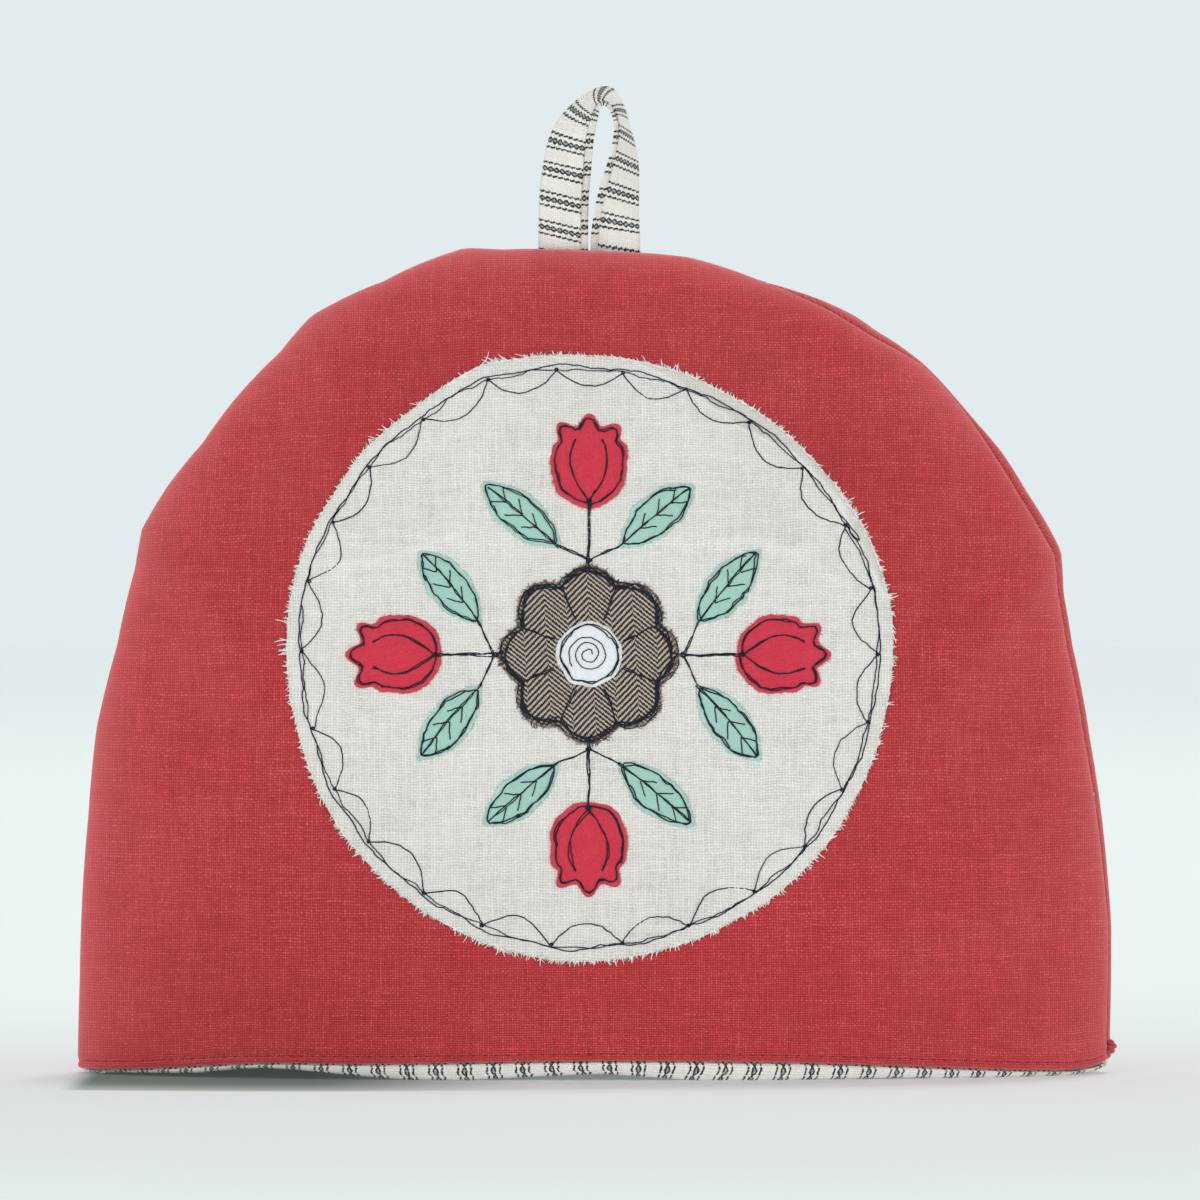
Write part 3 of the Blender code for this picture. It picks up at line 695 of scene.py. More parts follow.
@dataclass(frozen=True)
class FloorFinish:
    """Pale paper that glows a little with fill light of its own, painted light that no lamp gives,
    and a painted shadow about the foot of what stands on it, at its left.

    Near, middle and far are its colours on the way to the horizon. The painted shadow has its
    centre, its half width and depth, its left end and its deepest colour, and no light of its own.
    """

    name: str = "pale_floor"
    near: Colour = (0.69, 0.712, 0.722)
    middle: Colour = (0.8, 0.861, 0.85)
    far: Colour = (0.698, 0.757, 0.774)
    # It glows with fill light of its own for the shade inside and under the cosy: painted light.
    fill_glow: Colour = (0.2, 0.224, 0.22)
    # Darkest colour of the painted shadow.
    painted_shade: Colour = (0.02, 0.1, 0.03)
    black: Colour = (0, 0, 0)
    shadow_centre: tuple[float, float] = (-95 * MM, -10 * MM)
    shadow_reach: tuple[float, float] = (205 * MM, 104 * MM)
    shadow_left: float = -166 * MM

    def painted_shadow(self, sheet: FinishSheet, place: Signal) -> Signal:
        """How strongly the painted shadow darkens the paper about the foot of the cosy."""
        across = sheet.add("ShaderNodeSeparateXYZ", None, {0: place}, "X")
        depth = sheet.add("ShaderNodeSeparateXYZ", None, {0: place}, "Y")
        side = abs((across - self.shadow_centre[0]) / self.shadow_reach[0])
        ahead = abs((depth - self.shadow_centre[1]) / self.shadow_reach[1])
        out = side * side + ahead * ahead
        inside = out.ramp(1.10, 0.88) * across.ramp(self.shadow_left - 5 * MM, self.shadow_left + 5 * MM)
        deepest = across.ramp(-10 * MM, -95 * MM)
        return inside * deepest.mixed(0.06, out.ramp(0.95, 0.2) * 0.3 + 0.46)

    def material(self) -> Material:
        """Builds the finish."""
        sheet = FinishSheet(self.name, roughness=0.95, gloss=0.0)
        place = sheet.add("ShaderNodeTexCoord", output="Object")
        ahead = sheet.add("ShaderNodeVectorMath", {"operation": "ADD"},
                          {0: place, 1: (0.0, 0.25, 0.0)}, "Vector")
        reach = sheet.add("ShaderNodeVectorMath", {"operation": "LENGTH"}, {0: ahead}, "Value")
        grain = sheet.add("ShaderNodeTexNoise", None, {"Vector": place, "Scale": 900.0, "Detail": 2.0})
        paper = sheet.blend(reach.ramp(0.15, 0.7), self.near, self.middle)
        paper = sheet.blend(reach.ramp(2.5, 13.0), paper, self.far)
        # Painted shadow: the paper darkens towards a dark green tint and loses its light of its own
        # there.
        painted_shadow = self.painted_shadow(sheet, place)
        sheet.set("Emission Color", sheet.blend(painted_shadow, self.fill_glow, self.black))
        sheet.set("Emission Strength", 1.0)
        return sheet.done(sheet.blend(painted_shadow, paper, self.painted_shade), grain, 0.02 * MM)


Finish = LinenFinish | TickingFinish | TweedFinish | CottonFinish | ThreadFinish
FINISHES: tuple[Finish, ...] = (
    # Red linen: its edge colour is painted shade in the seam, the stitch holes and over the upper dome;
    # its light colour is also the painted sheen along the edge.
    LinenFinish(
        "red_linen", Weave(0.79 * MM, 0.92 * MM, contrast=0.1, slub=0.42, warp_slub=0.5,
                           knots=0.5, roundness=1.0),
        dark=(0.19, 0.005, 0.008), main=(0.52, 0.0365, 0.0425),
        light=(0.68, 0.118, 0.126), edge=(0.11, 0.004, 0.006), relief=0.095 * MM,
        sheen=0.85, tint=(1, 0.42, 0.44), gap_share=0.75, edge_share=0.85,
        hem_height=2.7 * MM),
    # Natural linen: its light colour also paints highlights along the patch's creases and backing fold;
    # its edge colour is the unbacked tone and the painted shade in crease troughs.
    LinenFinish(
        "natural_linen", Weave(0.93 * MM, 0.90 * MM, slub=0.4, warp_slub=0.35, wander=0.8,
                               contrast=0.06, knots=0.45, roundness=0.8),
        dark=(0.45, 0.42, 0.385), main=(0.79, 0.765, 0.727),
        light=(0.88, 0.87, 0.84), edge=(0.61, 0.545, 0.505), relief=0.15 * MM,
        sheen=0.15, gap_share=0.4, edge_share=0.5),
    TickingFinish(),
    TweedFinish(),
    CottonFinish("white_cotton", main=(0.8, 0.82, 0.85), light=(0.88, 0.89, 0.91),
                 dark=(0.64, 0.66, 0.7), edge=(0.9, 0.9, 0.9)),
    CottonFinish("bright_red_cotton", main=(0.6, 0.026, 0.056),
                 light=(0.7, 0.05, 0.085), dark=(0.42, 0.012, 0.03),
                 edge=(0.72, 0.11, 0.13)),
    CottonFinish("teal_cotton", main=(0.345, 0.6, 0.515), light=(0.44, 0.69, 0.605),
                 dark=(0.24, 0.47, 0.395), edge=(0.56, 0.77, 0.705),
                 edge_share=0.75),
    ThreadFinish("navy_thread", (0.006, 0.008, 0.016), (0.02, 0.025, 0.045)),
    ThreadFinish("red_thread", (0.33, 0.018, 0.024), (0.46, 0.036, 0.042)),
    ThreadFinish("linen_thread", (0.82, 0.8, 0.76), (0.93, 0.92, 0.89)),
    ThreadFinish("tweed_thread", (0.03, 0.026, 0.026), (0.33, 0.25, 0.18), 3 * MM),
    ThreadFinish("teal_thread", (0.4, 0.64, 0.57), (0.64, 0.8, 0.75)),
    ThreadFinish("bright_thread", (0.62, 0.04, 0.07), (0.75, 0.12, 0.14)),
)


# ---- The form that everything follows ----
@dataclass(frozen=True)
class DomeForm:
    """A superellipse outline in the XZ plane, bowed to the front and to the back.

    Attributes are the driving sizes of the solids, in metres where they are lengths.
    """

    hem_half_width: float = 170 * MM
    dome_height: float = 271 * MM
    half_depth: float = 52 * MM
    power: float = 2.6
    bow_power: float = 0.7
    least_lean: float = 0.5
    seam_gap: float = 0.3 * MM
    groove: float = 1.2 * MM
    groove_width: float = 1.3 * MM
    tuck_width: float = 3 * MM
    puff: float = 1.2 * MM
    puff_width: float = 4 * MM
    wrap_width: float = 6 * MM
    wrap_share: float = 0.5
    drift_fade: float = 12 * MM
    hem_warp_height: float = 40 * MM
    strap_slot: tuple[float, float] = (-33 * MM, 31 * MM)
    slot_fade: float = 10 * MM
    slot_depth: float = 9 * MM
    strap_thickness: float = 1.6 * MM

    CREVICE = 1.3 * MM
    CREVICE_WIDTH = 0.8 * MM
    LUMP_HEIGHT = 0.35 * MM
    PUCKER_HEIGHT = 0.22 * MM
    PUCKER_REACH = 9 * MM
    LATTICE_STEP = 2 * MM

    def bearing(self, x: Points, z: Points) -> Points:
        """Bearing from the hem's middle, in degrees: 0 left, 90 up, 180 right."""
        return np.degrees(np.arctan2(np.maximum(z, 0.0), -x))

    def reach(self, bearing: Points | float) -> Points:
        """Distance from the hem's middle to the plain outline."""
        angle = np.radians(bearing)
        across = np.abs(np.cos(angle)) / self.hem_half_width
        up = np.abs(np.sin(angle)) / self.dome_height
        return (across ** self.power + up ** self.power) ** (-1 / self.power)

    def outline(self, bearing: Points) -> tuple[Points, Points]:
        """Plain points of the outline."""
        angle = np.radians(bearing)
        reach = self.reach(bearing)
        return -np.cos(angle) * reach, np.sin(angle) * reach

    def fullness(self, x: Points, z: Points) -> Points:
        """0 at the hem's middle, 1 on the outline."""
        across = np.abs(x / self.hem_half_width) ** self.power
        return np.minimum(across + np.abs(z / self.dome_height) ** self.power, 1.0)

    def outward(self, x: Points, z: Points) -> tuple[Points, Points]:
        """Unit direction in the XZ plane that points straight out towards the outline."""
        power = self.power - 1
        across = np.sign(x) * np.abs(x / self.hem_half_width) ** power / self.hem_half_width
        up = np.maximum(z / self.dome_height, 0.0) ** power / self.dome_height
        length = np.hypot(across, up)
        flat = length <= 0
        length = np.where(flat, 1.0, length)
        return across / length, np.where(flat, 1.0, up / length)

    def edge_distance(self, x: Points, z: Points) -> Points:
        """Distance from the outline, measured straight in."""
        height = np.maximum(z, 0.0)
        out_x, out_z = self.outward(x, z)
        length = np.maximum(np.hypot(x, height), 1e-9)
        lean = np.maximum((out_x * x + out_z * height) / length, self.least_lean)
        reach = self.reach(self.bearing(x, z))
        return (1 - self.fullness(x, z)) * reach / self.power * lean

    def fold_relief(self, side: Side, bearing: Points, edge: Points) -> Points:
        """Sum of the soft folds of one panel, outward in metres."""
        relief = np.zeros_like(edge)
        for middle, width, reach_mm, depth_mm in FOLD_TABLES[side]:
            reach = reach_mm * MM
            along = smooth_step(0, 0.3 * reach, edge)
            along = along * (1 - smooth_step(0.35 * reach, reach, edge))
            relief -= depth_mm * MM * hump(bearing - middle, width) * along
        return relief

    def fine_relief(self, side: Side, x: Points, z: Points, edge: Points) -> Points:
        """Lumps of the wadding and puckers beside the seam, outward in metres."""
        seed = 11 if side is Side.FRONT else 12
        lumps = Ripple(seed, 62 * MM).at(x, z) * self.LUMP_HEIGHT
        lumps = lumps + Ripple(seed + 10, 24 * MM).at(x, z) * self.LUMP_HEIGHT * 0.25
        walk = np.radians(self.bearing(x, z)) * self.dome_height
        pucker = Ripple(seed + 20, 13 * MM, 4).at(walk, 0.0) * self.PUCKER_HEIGHT
        return lumps * smooth_step(0, 25 * MM, edge) + pucker * swell(edge, self.PUCKER_REACH)

    def seam_half_gap(self, x: Points, edge: Points) -> Points:
        """Half the gap between the panels: wider where the strap is caught between them."""
        left, right = self.strap_slot
        share = smooth_step(left - self.slot_fade, left, x)
        share = share * (1 - smooth_step(right, right + self.slot_fade, x))
        share = share * hump(edge, self.slot_depth)
        return self.seam_gap / 2 + (self.strap_thickness + self.seam_gap) / 2 * share

    def surface(self, side: Side, x: Points, z: Points, inset: Points | float,
                puffed: Points | float) -> Points:
        """Bows plain points of one layer of a panel into the standing dome.

        Args:
            side: Front or back panel.
            x: Plain places across.
            z: Plain places up.
            inset: How far the layer lies inside the cover's outer face.
            puffed: 1 for an outer face, which puffs up beside the seam and has its fine
                unevenness, 0 for a layer inside, or between.

        Returns:
            One row of X, Y, Z for each point.
        """
        bearing = self.bearing(x, z)
        full = self.fullness(x, z)
        out_x, out_z = self.outward(x, z)
        edge = self.edge_distance(x, z)
        forward = read_table(SEAM_DRIFT, bearing)
        overlap = np.abs(forward) * self.wrap_share
        wraps = (forward * side.value > 0) * overlap
        out = read_table(OUTLINE_SWELL, bearing) * smooth_step(0.3, 1.0, full)
        tucked = np.where(forward * side.value < 0, self.tuck_width, self.groove_width)
        out = out - overlap * hump(edge, tucked)
        out = out + wraps * swell(edge, self.wrap_width)
        out = out - self.groove * hump(edge, self.groove_width) * puffed
        out = out - self.CREVICE * hump(edge, self.CREVICE_WIDTH) * puffed
        out = out + self.puff * swell(edge, self.puff_width) * puffed
        bow = (self.half_depth - inset) * (1 - full) ** self.bow_power
        bow = bow + self.fold_relief(side, bearing, edge) + self.seam_half_gap(x, edge)
        bow = bow + self.fine_relief(side, x, z, edge) * puffed
        return np.column_stack([
            x * (1 - inset / self.hem_half_width) + out_x * out,
            side.value * bow - forward * np.exp(-edge / self.drift_fade),
            z * (1 - inset / self.dome_height) + out_z * out,
        ])

    def lifted(self, side: Side, x: Points, z: Points, column: int) -> Points:
        """Plain heights with the hem's uneven lower edge worked in, fading out upwards."""
        edge = read_table(HEM_TABLES[side], x / MM, column)
        return z + edge * np.maximum(0.0, 1 - z / self.hem_warp_height)

    def above_front(self, x: Points, z: Points, level: Points | float) -> Points:
        """Points that stand off the front's outer face, in the plain space of the form.

        Args:
            x: Plain places across.
            z: Plain places up.
            level: Height above the face.

        Returns:
            One row of X, Y, Z for each point.
        """
        step = self.LATTICE_STEP
        middle, right, left, over, under = (
            self.surface(Side.FRONT, x + step * i, z + step * k, 0.0, 1.0)
            for i, k in ((0, 0), (1, 0), (-1, 0), (0, 1), (0, -1)))
        straight = unit(np.cross(right - left, over - under))
        return middle + straight * np.broadcast_to(level, np.shape(x))[:, None]


class ClothMap:
    """Where the points of one bowed panel lay on the flat cloth, by lengths along its threads."""

    def __init__(self, form: DomeForm, side: Side) -> None:
        """Measures the panel on a lattice.

        Args:
            form: The shared form.
            side: Front or back panel.
        """
        step = form.LATTICE_STEP
        self.across = np.arange(-form.hem_half_width, form.hem_half_width + step, step)
        self.up = np.arange(0.0, form.dome_height + step, step)
        grid_x, grid_z = np.meshgrid(self.across, self.up)
        flat = form.surface(side, grid_x.ravel(), grid_z.ravel(), 0.0, 0.0)
        places = flat.reshape(*grid_x.shape, 3)
        level = np.linalg.norm(np.diff(places, axis=1), axis=2)
        level = np.pad(np.cumsum(level, axis=1), ((0, 0), (1, 0)))
        middle = len(self.across) // 2
        self.level = level - level[:, middle:middle + 1]
        upright = np.linalg.norm(np.diff(places, axis=0), axis=2)
        self.upright = np.pad(np.cumsum(upright, axis=0), ((1, 0), (0, 0)))

    def at(self, x: Points, z: Points) -> Points:
        """Cloth coordinates of plain points, one row of across and along for each."""
        column = np.interp(x, self.across, np.arange(len(self.across)))
        row = np.interp(z, self.up, np.arange(len(self.up)))
        i = np.minimum(column.astype(int), len(self.across) - 2)
        j = np.minimum(row.astype(int), len(self.up) - 2)
        s, t = column - i, row - j
        return np.column_stack([
            (grid[j, i] * (1 - s) + grid[j, i + 1] * s) * (1 - t)
            + (grid[j + 1, i] * (1 - s) + grid[j + 1, i + 1] * s) * t
            for grid in (self.level, self.upright)
        ])


# ---- Turning flat cuts into pieces ----
class Workroom:
    """Makes finished pieces of flat cuts and thread runs, and files them with the frame."""

    def __init__(self) -> None:
        """Mixes every finish once, and starts with no pieces."""
        self.finishes = {finish.name: finish.material() for finish in FINISHES}
        self.pieces: list[Object] = []

    def finish_mesh(self, name: str, builder: BMesh, finish: str) -> Object:
        """Turns a closed bmesh into a linked object with smooth faces that point outwards."""
        bmesh.ops.recalc_face_normals(builder, faces=builder.faces)
        mesh = meshed(name, builder, self.finishes[finish])
        mesh.shade_smooth()
        return placed(name, mesh)

    def sew(self, name: str, flat_cut: BMesh, slot: str, node: str, shape: Bend,
            cloth: Bend, edge_tone: Bend | None = None) -> Object:
        """Bows a flat cut into place and files it.

        Args:
            name: The piece's name.
            flat_cut: Its closed mesh in the plain space.
            slot: The name of its finish.
            node: The solid that it stands for.
            shape: Gives each plain point its place.
            cloth: Gives each plain point its cloth coordinates.
            edge_tone: Gives each plain point's share of the edge colour, or of the light colour below 0;
                on the cover and patch it paints shade and highlights.

        Returns:
            The piece.
        """
        flat = np.array([vertex.co[:] for vertex in flat_cut.verts])
        for vertex, place in zip(flat_cut.verts, shape(flat)):
            vertex.co = place
        piece = self.finish_mesh(name, flat_cut, slot)
        mesh = piece.data
        corners = np.empty(len(mesh.loops), dtype=np.int32)
        mesh.loops.foreach_get("vertex_index", corners)
        layer = mesh.uv_layers.new(name=CLOTH_MAP)
        layer.data.foreach_set("uv", cloth(flat)[corners].astype(np.float32).ravel())
        if edge_tone is not None:
            share = mesh.attributes.new(EDGE_SHARE, "FLOAT", "POINT")
            share.data.foreach_set("value", edge_tone(flat).astype(np.float32))
        return self.file(piece, slot, [node])

    def spin_threads(self, name: str, runs: Iterable[ThreadRun], finish: str,
                     slot: str | None = None, roundness: int = 0) -> Object:
        """Makes one piece of many thin tubes and files it.

        Args:
            name: The piece's name.
            runs: The tubes' paths and radii.
            finish: Name of their finish.
            slot: Not used.
            roundness: 0 gives four sides, 1 gives six.

        Returns:
            The piece.
        """
        curve = bpy.data.curves.new(name + "_paths", "CURVE")
        curve.dimensions = "3D"
        curve.bevel_depth = 1 * MM
        curve.bevel_resolution = roundness
        curve.use_fill_caps = True
        for run in runs:
            spline = curve.splines.new("POLY")
            spline.points.add(len(run.places) - 1)
            places = np.column_stack([run.places, np.ones(len(run.places))])
            spline.points.foreach_set("co", places.ravel())
            radii = np.broadcast_to(run.radius, len(run.places)) / curve.bevel_depth
            spline.points.foreach_set("radius", radii.astype(np.float32))
        holder = placed(name + "_paths", curve)
        graph = bpy.context.evaluated_depsgraph_get()
        mesh = bpy.data.meshes.new_from_object(holder.evaluated_get(graph))
        bpy.data.objects.remove(holder)
        builder = bmesh.new()
        builder.from_mesh(mesh)
        bpy.data.meshes.remove(mesh)
        bmesh.ops.remove_doubles(builder, verts=builder.verts, dist=0.001 * MM)
        return self.file(self.finish_mesh(name, builder, finish), slot)

    def file(self, piece: Object, slot: str | None = None, nodes: Sequence[str] = ()) -> Object:
        """Files a piece: parents it to its body, hides the nodes that it stands for and keeps it."""
        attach(piece, BODY)
        if nodes:
            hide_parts(*nodes)
        self.pieces.append(piece)
        LOG.info("%s: %d faces", piece.name, len(piece.data.polygons))
        return piece


class ThreadRun(NamedTuple):
    """Path of one thread and its radius, one for all or one for each point."""

    places: Points
    radius: Points | float


def close_skins(cut: BMesh, depth: float, cuts: int = 0) -> None:
    """Gives a flat cut a second skin at a depth along Y and joins their rims.

    Args:
        cut: One flat sheet with open rims.
        depth: How far the second skin lies from the first.
        cuts: How many rows of points the joining strip gets.
    """
    copy = bmesh.ops.duplicate(cut, geom=cut.verts[:] + cut.edges[:] + cut.faces[:])["geom"]
    bmesh.ops.translate(cut, verts=parts_of(BMVert, copy), vec=(0.0, depth, 0.0))
    bmesh.ops.reverse_faces(cut, faces=parts_of(BMFace, copy))
    rims = [edge for edge in cut.edges if edge.is_boundary]
    strip = bmesh.ops.bridge_loops(cut, edges=rims)
    if cuts:
        bmesh.ops.subdivide_edges(cut, edges=strip["edges"], cuts=cuts)


@dataclass(frozen=True)
class PanelCut:
    """How finely a dome-shaped panel is cut: a rectangular core and rings out to the seam.

    Attributes:
        side_cells: Cells up each side of the core.
        top_cells: Cells across its top.
        rings: Rings from the core to the seam.
        hem_rows_mm: Heights of extra rows near the hem.
    """

    side_cells: int
    top_cells: int
    rings: int
    hem_rows_mm: tuple[float, ...] = ()

    CORE_HALF_WIDTH = 112 * MM
    CORE_HEIGHT = 188 * MM
    CORNER_BEARING = 57.9
    GRADING = 1.5
    FINE_BEARINGS = 4000

    def bearings(self, form: DomeForm) -> Points:
        """Bearings of the spokes, evenly spaced along each stretch of the outline."""
        corner = self.CORNER_BEARING
        stretches = ((0.0, corner, self.side_cells), (corner, 180 - corner, self.top_cells),
                     (180 - corner, 180.0, self.side_cells))
        chosen = [np.zeros(1)]
        for start, end, cells in stretches:
            fine = np.linspace(start, end, self.FINE_BEARINGS)
            lengths = row_lengths(np.column_stack(form.outline(fine)))
            evenly = np.linspace(0, lengths[-1], cells + 1)[1:]
            chosen.append(np.interp(evenly, lengths, fine))
        return np.concatenate(chosen)

    def flat(self, form: DomeForm) -> BMesh:
        """Cuts the panel.

        Args:
            form: The shared form.

        Returns:
            One open sheet in the plain space.
        """
        cut = bmesh.new()
        bmesh.ops.create_grid(cut, x_segments=self.top_cells, y_segments=self.side_cells, size=1.0)
        for vertex in cut.verts:
            vertex.co = (vertex.co.x * self.CORE_HALF_WIDTH, 0.0,
                         (vertex.co.y + 1) / 2 * self.CORE_HEIGHT)
        spoke_layer = cut.verts.layers.int.new("spoke")
        rim = [edge for edge in cut.edges
               if edge.is_boundary and max(v.co.z for v in edge.verts) > 1e-6]
        ends = {vertex for edge in rim for vertex in edge.verts}
        roots = []
        for vertex in sorted(ends, key=lambda end: math.atan2(abs(end.co.z), -end.co.x)):
            vertex[spoke_layer] = len(roots)
            roots.append(vertex.co.copy())
        tips = np.column_stack(form.outline(self.bearings(form)))
        for ring in reversed(range(self.rings)):
            share = (ring / self.rings) ** self.GRADING
            made = bmesh.ops.extrude_edge_only(cut, edges=rim)["geom"]
            rim = parts_of(BMEdge, made)
            for vertex in parts_of(BMVert, made):
                root, tip = roots[vertex[spoke_layer]], tips[vertex[spoke_layer]]
                vertex.co = (tip[0] + (root.x - tip[0]) * share, 0.0,
                             tip[1] + (root.z - tip[1]) * share)
        for height in self.hem_rows_mm:
            whole = cut.verts[:] + cut.edges[:] + cut.faces[:]
            bmesh.ops.bisect_plane(cut, geom=whole, dist=1e-7, plane_co=(0, 0, height * MM),
                                   plane_no=(0, 0, 1))
        return cut


# ---- Cover and linings ----
@dataclass
class CoverPanel:
    """One padded panel of the red cover, its hem folded under and topstitched."""

    side: Side
    thickness: float = 4 * MM
    hem_round: float = 1.7 * MM
    stitch_height: float = 2.7 * MM
    stitch_sink: float = 0.45 * MM
    stitch_width: float = 0.75 * MM
    stitch_pitch: float = 3.75 * MM
    thread_radius: float = 0.17 * MM
    # Painted shade in the seam, painted sheen along the edge and painted shade over the upper dome.
    seam_shade: float = 0.85 * MM
    roll_width: float = 8 * MM
    sheen_shares: tuple[float, float] = (0.75, 1.1)
    top_shade: float = 0.17
    cut: PanelCut = PanelCut(94, 112, 27, (0.25, 0.6, 1.1, 1.6, 2.3, 2.6, 2.9, 3.3, 5.0))

    # Places along one stitch, as shares of the pitch, and how deep the thread lies there.
    STITCH_SHARES = np.array([0.08, 0.2, 0.4, 0.6, 0.8, 0.92])
    STITCH_SINKS = np.array([0.4, 0.05, -0.08, -0.08, 0.05, 0.4]) * MM
    FLAT_SIZE = (360 * MM, 285 * MM)
    FLAT_AREA = 0.0845

    def shape(self, form: DomeForm, flat: Points) -> Points:
        """Bows the flat cut, with its rounded hem and the sunk line of stitches."""
        x, inset, z = flat.T
        near = np.clip(self.hem_round - z, 0.0, self.hem_round)
        tuck = self.hem_round - np.sqrt(self.hem_round ** 2 - near ** 2)
        tuck = tuck + self.stitch_sink * hump(z - self.stitch_height, self.stitch_width)
        depth = np.where(inset < self.thickness / 2, inset + tuck, inset - tuck)
        puffed = 1 - np.clip(inset / self.thickness, 0.0, 1.0)
        return form.surface(self.side, x, form.lifted(self.side, x, z, COVER_EDGE), depth, puffed)

    def edge_tone(self, form: DomeForm, flat: Points) -> Points:
        """Painted shade in the seam, a painted sheen along the roll of cloth beside it,
        and painted shade over the upper dome away from the edge.
        """
        inward = form.edge_distance(flat[:, 0], flat[:, 2])
        # Painted shade in the seam's groove.
        seam = hump(inward, self.seam_shade)
        rise = (0.0, form.dome_height)
        # A painted sheen along the rolled edge, stronger towards the top.
        roll = np.exp(-inward / self.roll_width)
        painted_sheen = np.interp(flat[:, 2], rise, self.sheen_shares) * roll
        # Painted shade that darkens the upper dome away from the edge.
        painted_shade = np.interp(flat[:, 2], rise, (0.0, self.top_shade)) * (1 - roll)
        return seam + (1 - seam) * (painted_shade - painted_sheen)

    def build(self, room: Workroom, form: DomeForm) -> None:
        """Builds and dresses the panel."""
        cut = self.cut.flat(form)
        close_skins(cut, self.thickness)
        cloth = ClothMap(form, self.side)
        panel = room.sew(f"{self.side.word}_cover", cut, "red_linen", f"{self.side.word}_panel",
                         lambda flat: self.shape(form, flat),
                         lambda flat: cloth.at(flat[:, 0], flat[:, 2]),
                         lambda flat: self.edge_tone(form, flat))
        stitches = self.topstitch(room, form, cloth)

    def topstitch(self, room: Workroom, form: DomeForm, cloth: ClothMap) -> Object:
        """Sews the line of tone-on-tone stitches from hole to hole above the hem's edge."""
        fine = np.linspace(-1, 1, 2000) * (form.hem_half_width - 2 * MM)
        level = cloth.at(fine, np.full_like(fine, self.stitch_height))[:, 0] / self.stitch_pitch
        chance = np.random.default_rng(31 + self.side.value)
        runs = []
        for number in range(math.ceil(level[0]), math.floor(level[-1]) - 1):
            steps = number + 0.5 + self.STITCH_SHARES
            x = np.interp(steps, level, fine)
            z = self.stitch_height + chance.normal(0, 0.06 * MM) + np.zeros_like(x)
            places = self.shape(form, np.column_stack([x, np.zeros_like(x), z]))
            places[:, 1] -= self.STITCH_SINKS * self.side.value
            runs.append(ThreadRun(places, self.thread_radius))
        return room.spin_threads(f"{self.side.word}_hem_stitches", runs, "red_thread", "red_linen", 1)


@dataclass
class LiningPanel:
    """One ticking lining, whose lower edge rolls out under the red hem."""

    side: Side
    outside: float = 4.45 * MM
    thickness: float = 1.6 * MM
    clearance: float = 0.5 * MM
    roll_rows: int = 11
    cut: PanelCut = PanelCut(48, 80, 13, (0.5,))

    FLAT_SIZE = (350 * MM, 284 * MM)
    FLAT_AREA = 0.0815
    CORNER_TUCK = 2.6 * MM
    ROLL_DROP = 7 * MM
    STAGGER = 0.9 * MM
    # Inset in mm and share of the height between the lining's lowest line and the cover's edge.
    ROLL = np.array([(4.45, 1.0), (1.1, 1.0), (0.8, 0.6), (1.4, 0.2), (2.8, 0.0), (6.05, 0.0)])

    def roll_share(self, flat: Points) -> Points:
        """How far round the roll a point of the hem's joining strip lies, 0 to 1."""
        return np.clip(flat[:, 1] / self.thickness, 0.0, 1.0)

    def shape(self, form: DomeForm, flat: Points) -> Points:
        """Bows the flat cut, with its rolled lower edge."""
        x, inset, z = flat.T
        share = self.roll_share(flat)
        outer_z = form.lifted(self.side, x, z, COVER_EDGE)
        outer_z = np.where(z < form.seam_gap, outer_z - self.clearance, outer_z)
        inner_z = form.lifted(self.side, x, z, LINING_EDGE)
        bowed = form.surface(self.side, x, np.where(share > 0.5, inner_z, outer_z),
                             self.outside + inset, 0.0)
        rolled = (z < form.seam_gap) & (share > 0.001) & (share < 0.999)
        path = round_rows(self.ROLL, 6)
        turns = np.linspace(0, 1, len(path))
        depth = np.interp(share, turns, path[:, 0]) * MM
        if self.side is Side.FRONT:
            depth = depth + self.CORNER_TUCK * smooth_step(-132 * MM, -155 * MM, x)
        rise = np.interp(share, turns, path[:, 1])
        top = read_table(HEM_TABLES[self.side], x / MM, COVER_EDGE) - self.clearance
        low = read_table(HEM_TABLES[self.side], x / MM, LINING_EDGE)
        roll = form.surface(self.side, x, low + (top - low) * np.maximum(rise, 0.0), depth, 1.0)
        return np.where(rolled[:, None], roll, bowed)

    def cloth(self, cloth: ClothMap, flat: Points) -> Points:
        """Cloth coordinates: the stripes run up, and shift a little where the hem turns under."""
        places = cloth.at(flat[:, 0], flat[:, 2])
        share = self.roll_share(flat) * (flat[:, 2] < 1 * MM)
        places[:, 1] -= share * self.ROLL_DROP
        shift = Ripple(71 + self.side.value, 60 * MM).at(flat[:, 0]) * self.STAGGER
        places[:, 0] += shift * smooth_step(0.45, 0.6, share)
        return places

    def build(self, room: Workroom, form: DomeForm) -> None:
        """Builds and dresses the lining."""
        cut = self.cut.flat(form)
        close_skins(cut, self.thickness, self.roll_rows)
        cloth = ClothMap(form, self.side)
        lining = room.sew(f"{self.side.word}_lining", cut, "ticking", f"lining_{self.side.word}",
                          lambda flat: self.shape(form, flat),
                          lambda flat: self.cloth(cloth, flat))


# ---- Strap loop ----
class StrapRow(NamedTuple):
    """A point of the strap's section: place across, height, place on the cloth, lip or not."""

    across: float
    height: float
    cloth: float
    lip: bool


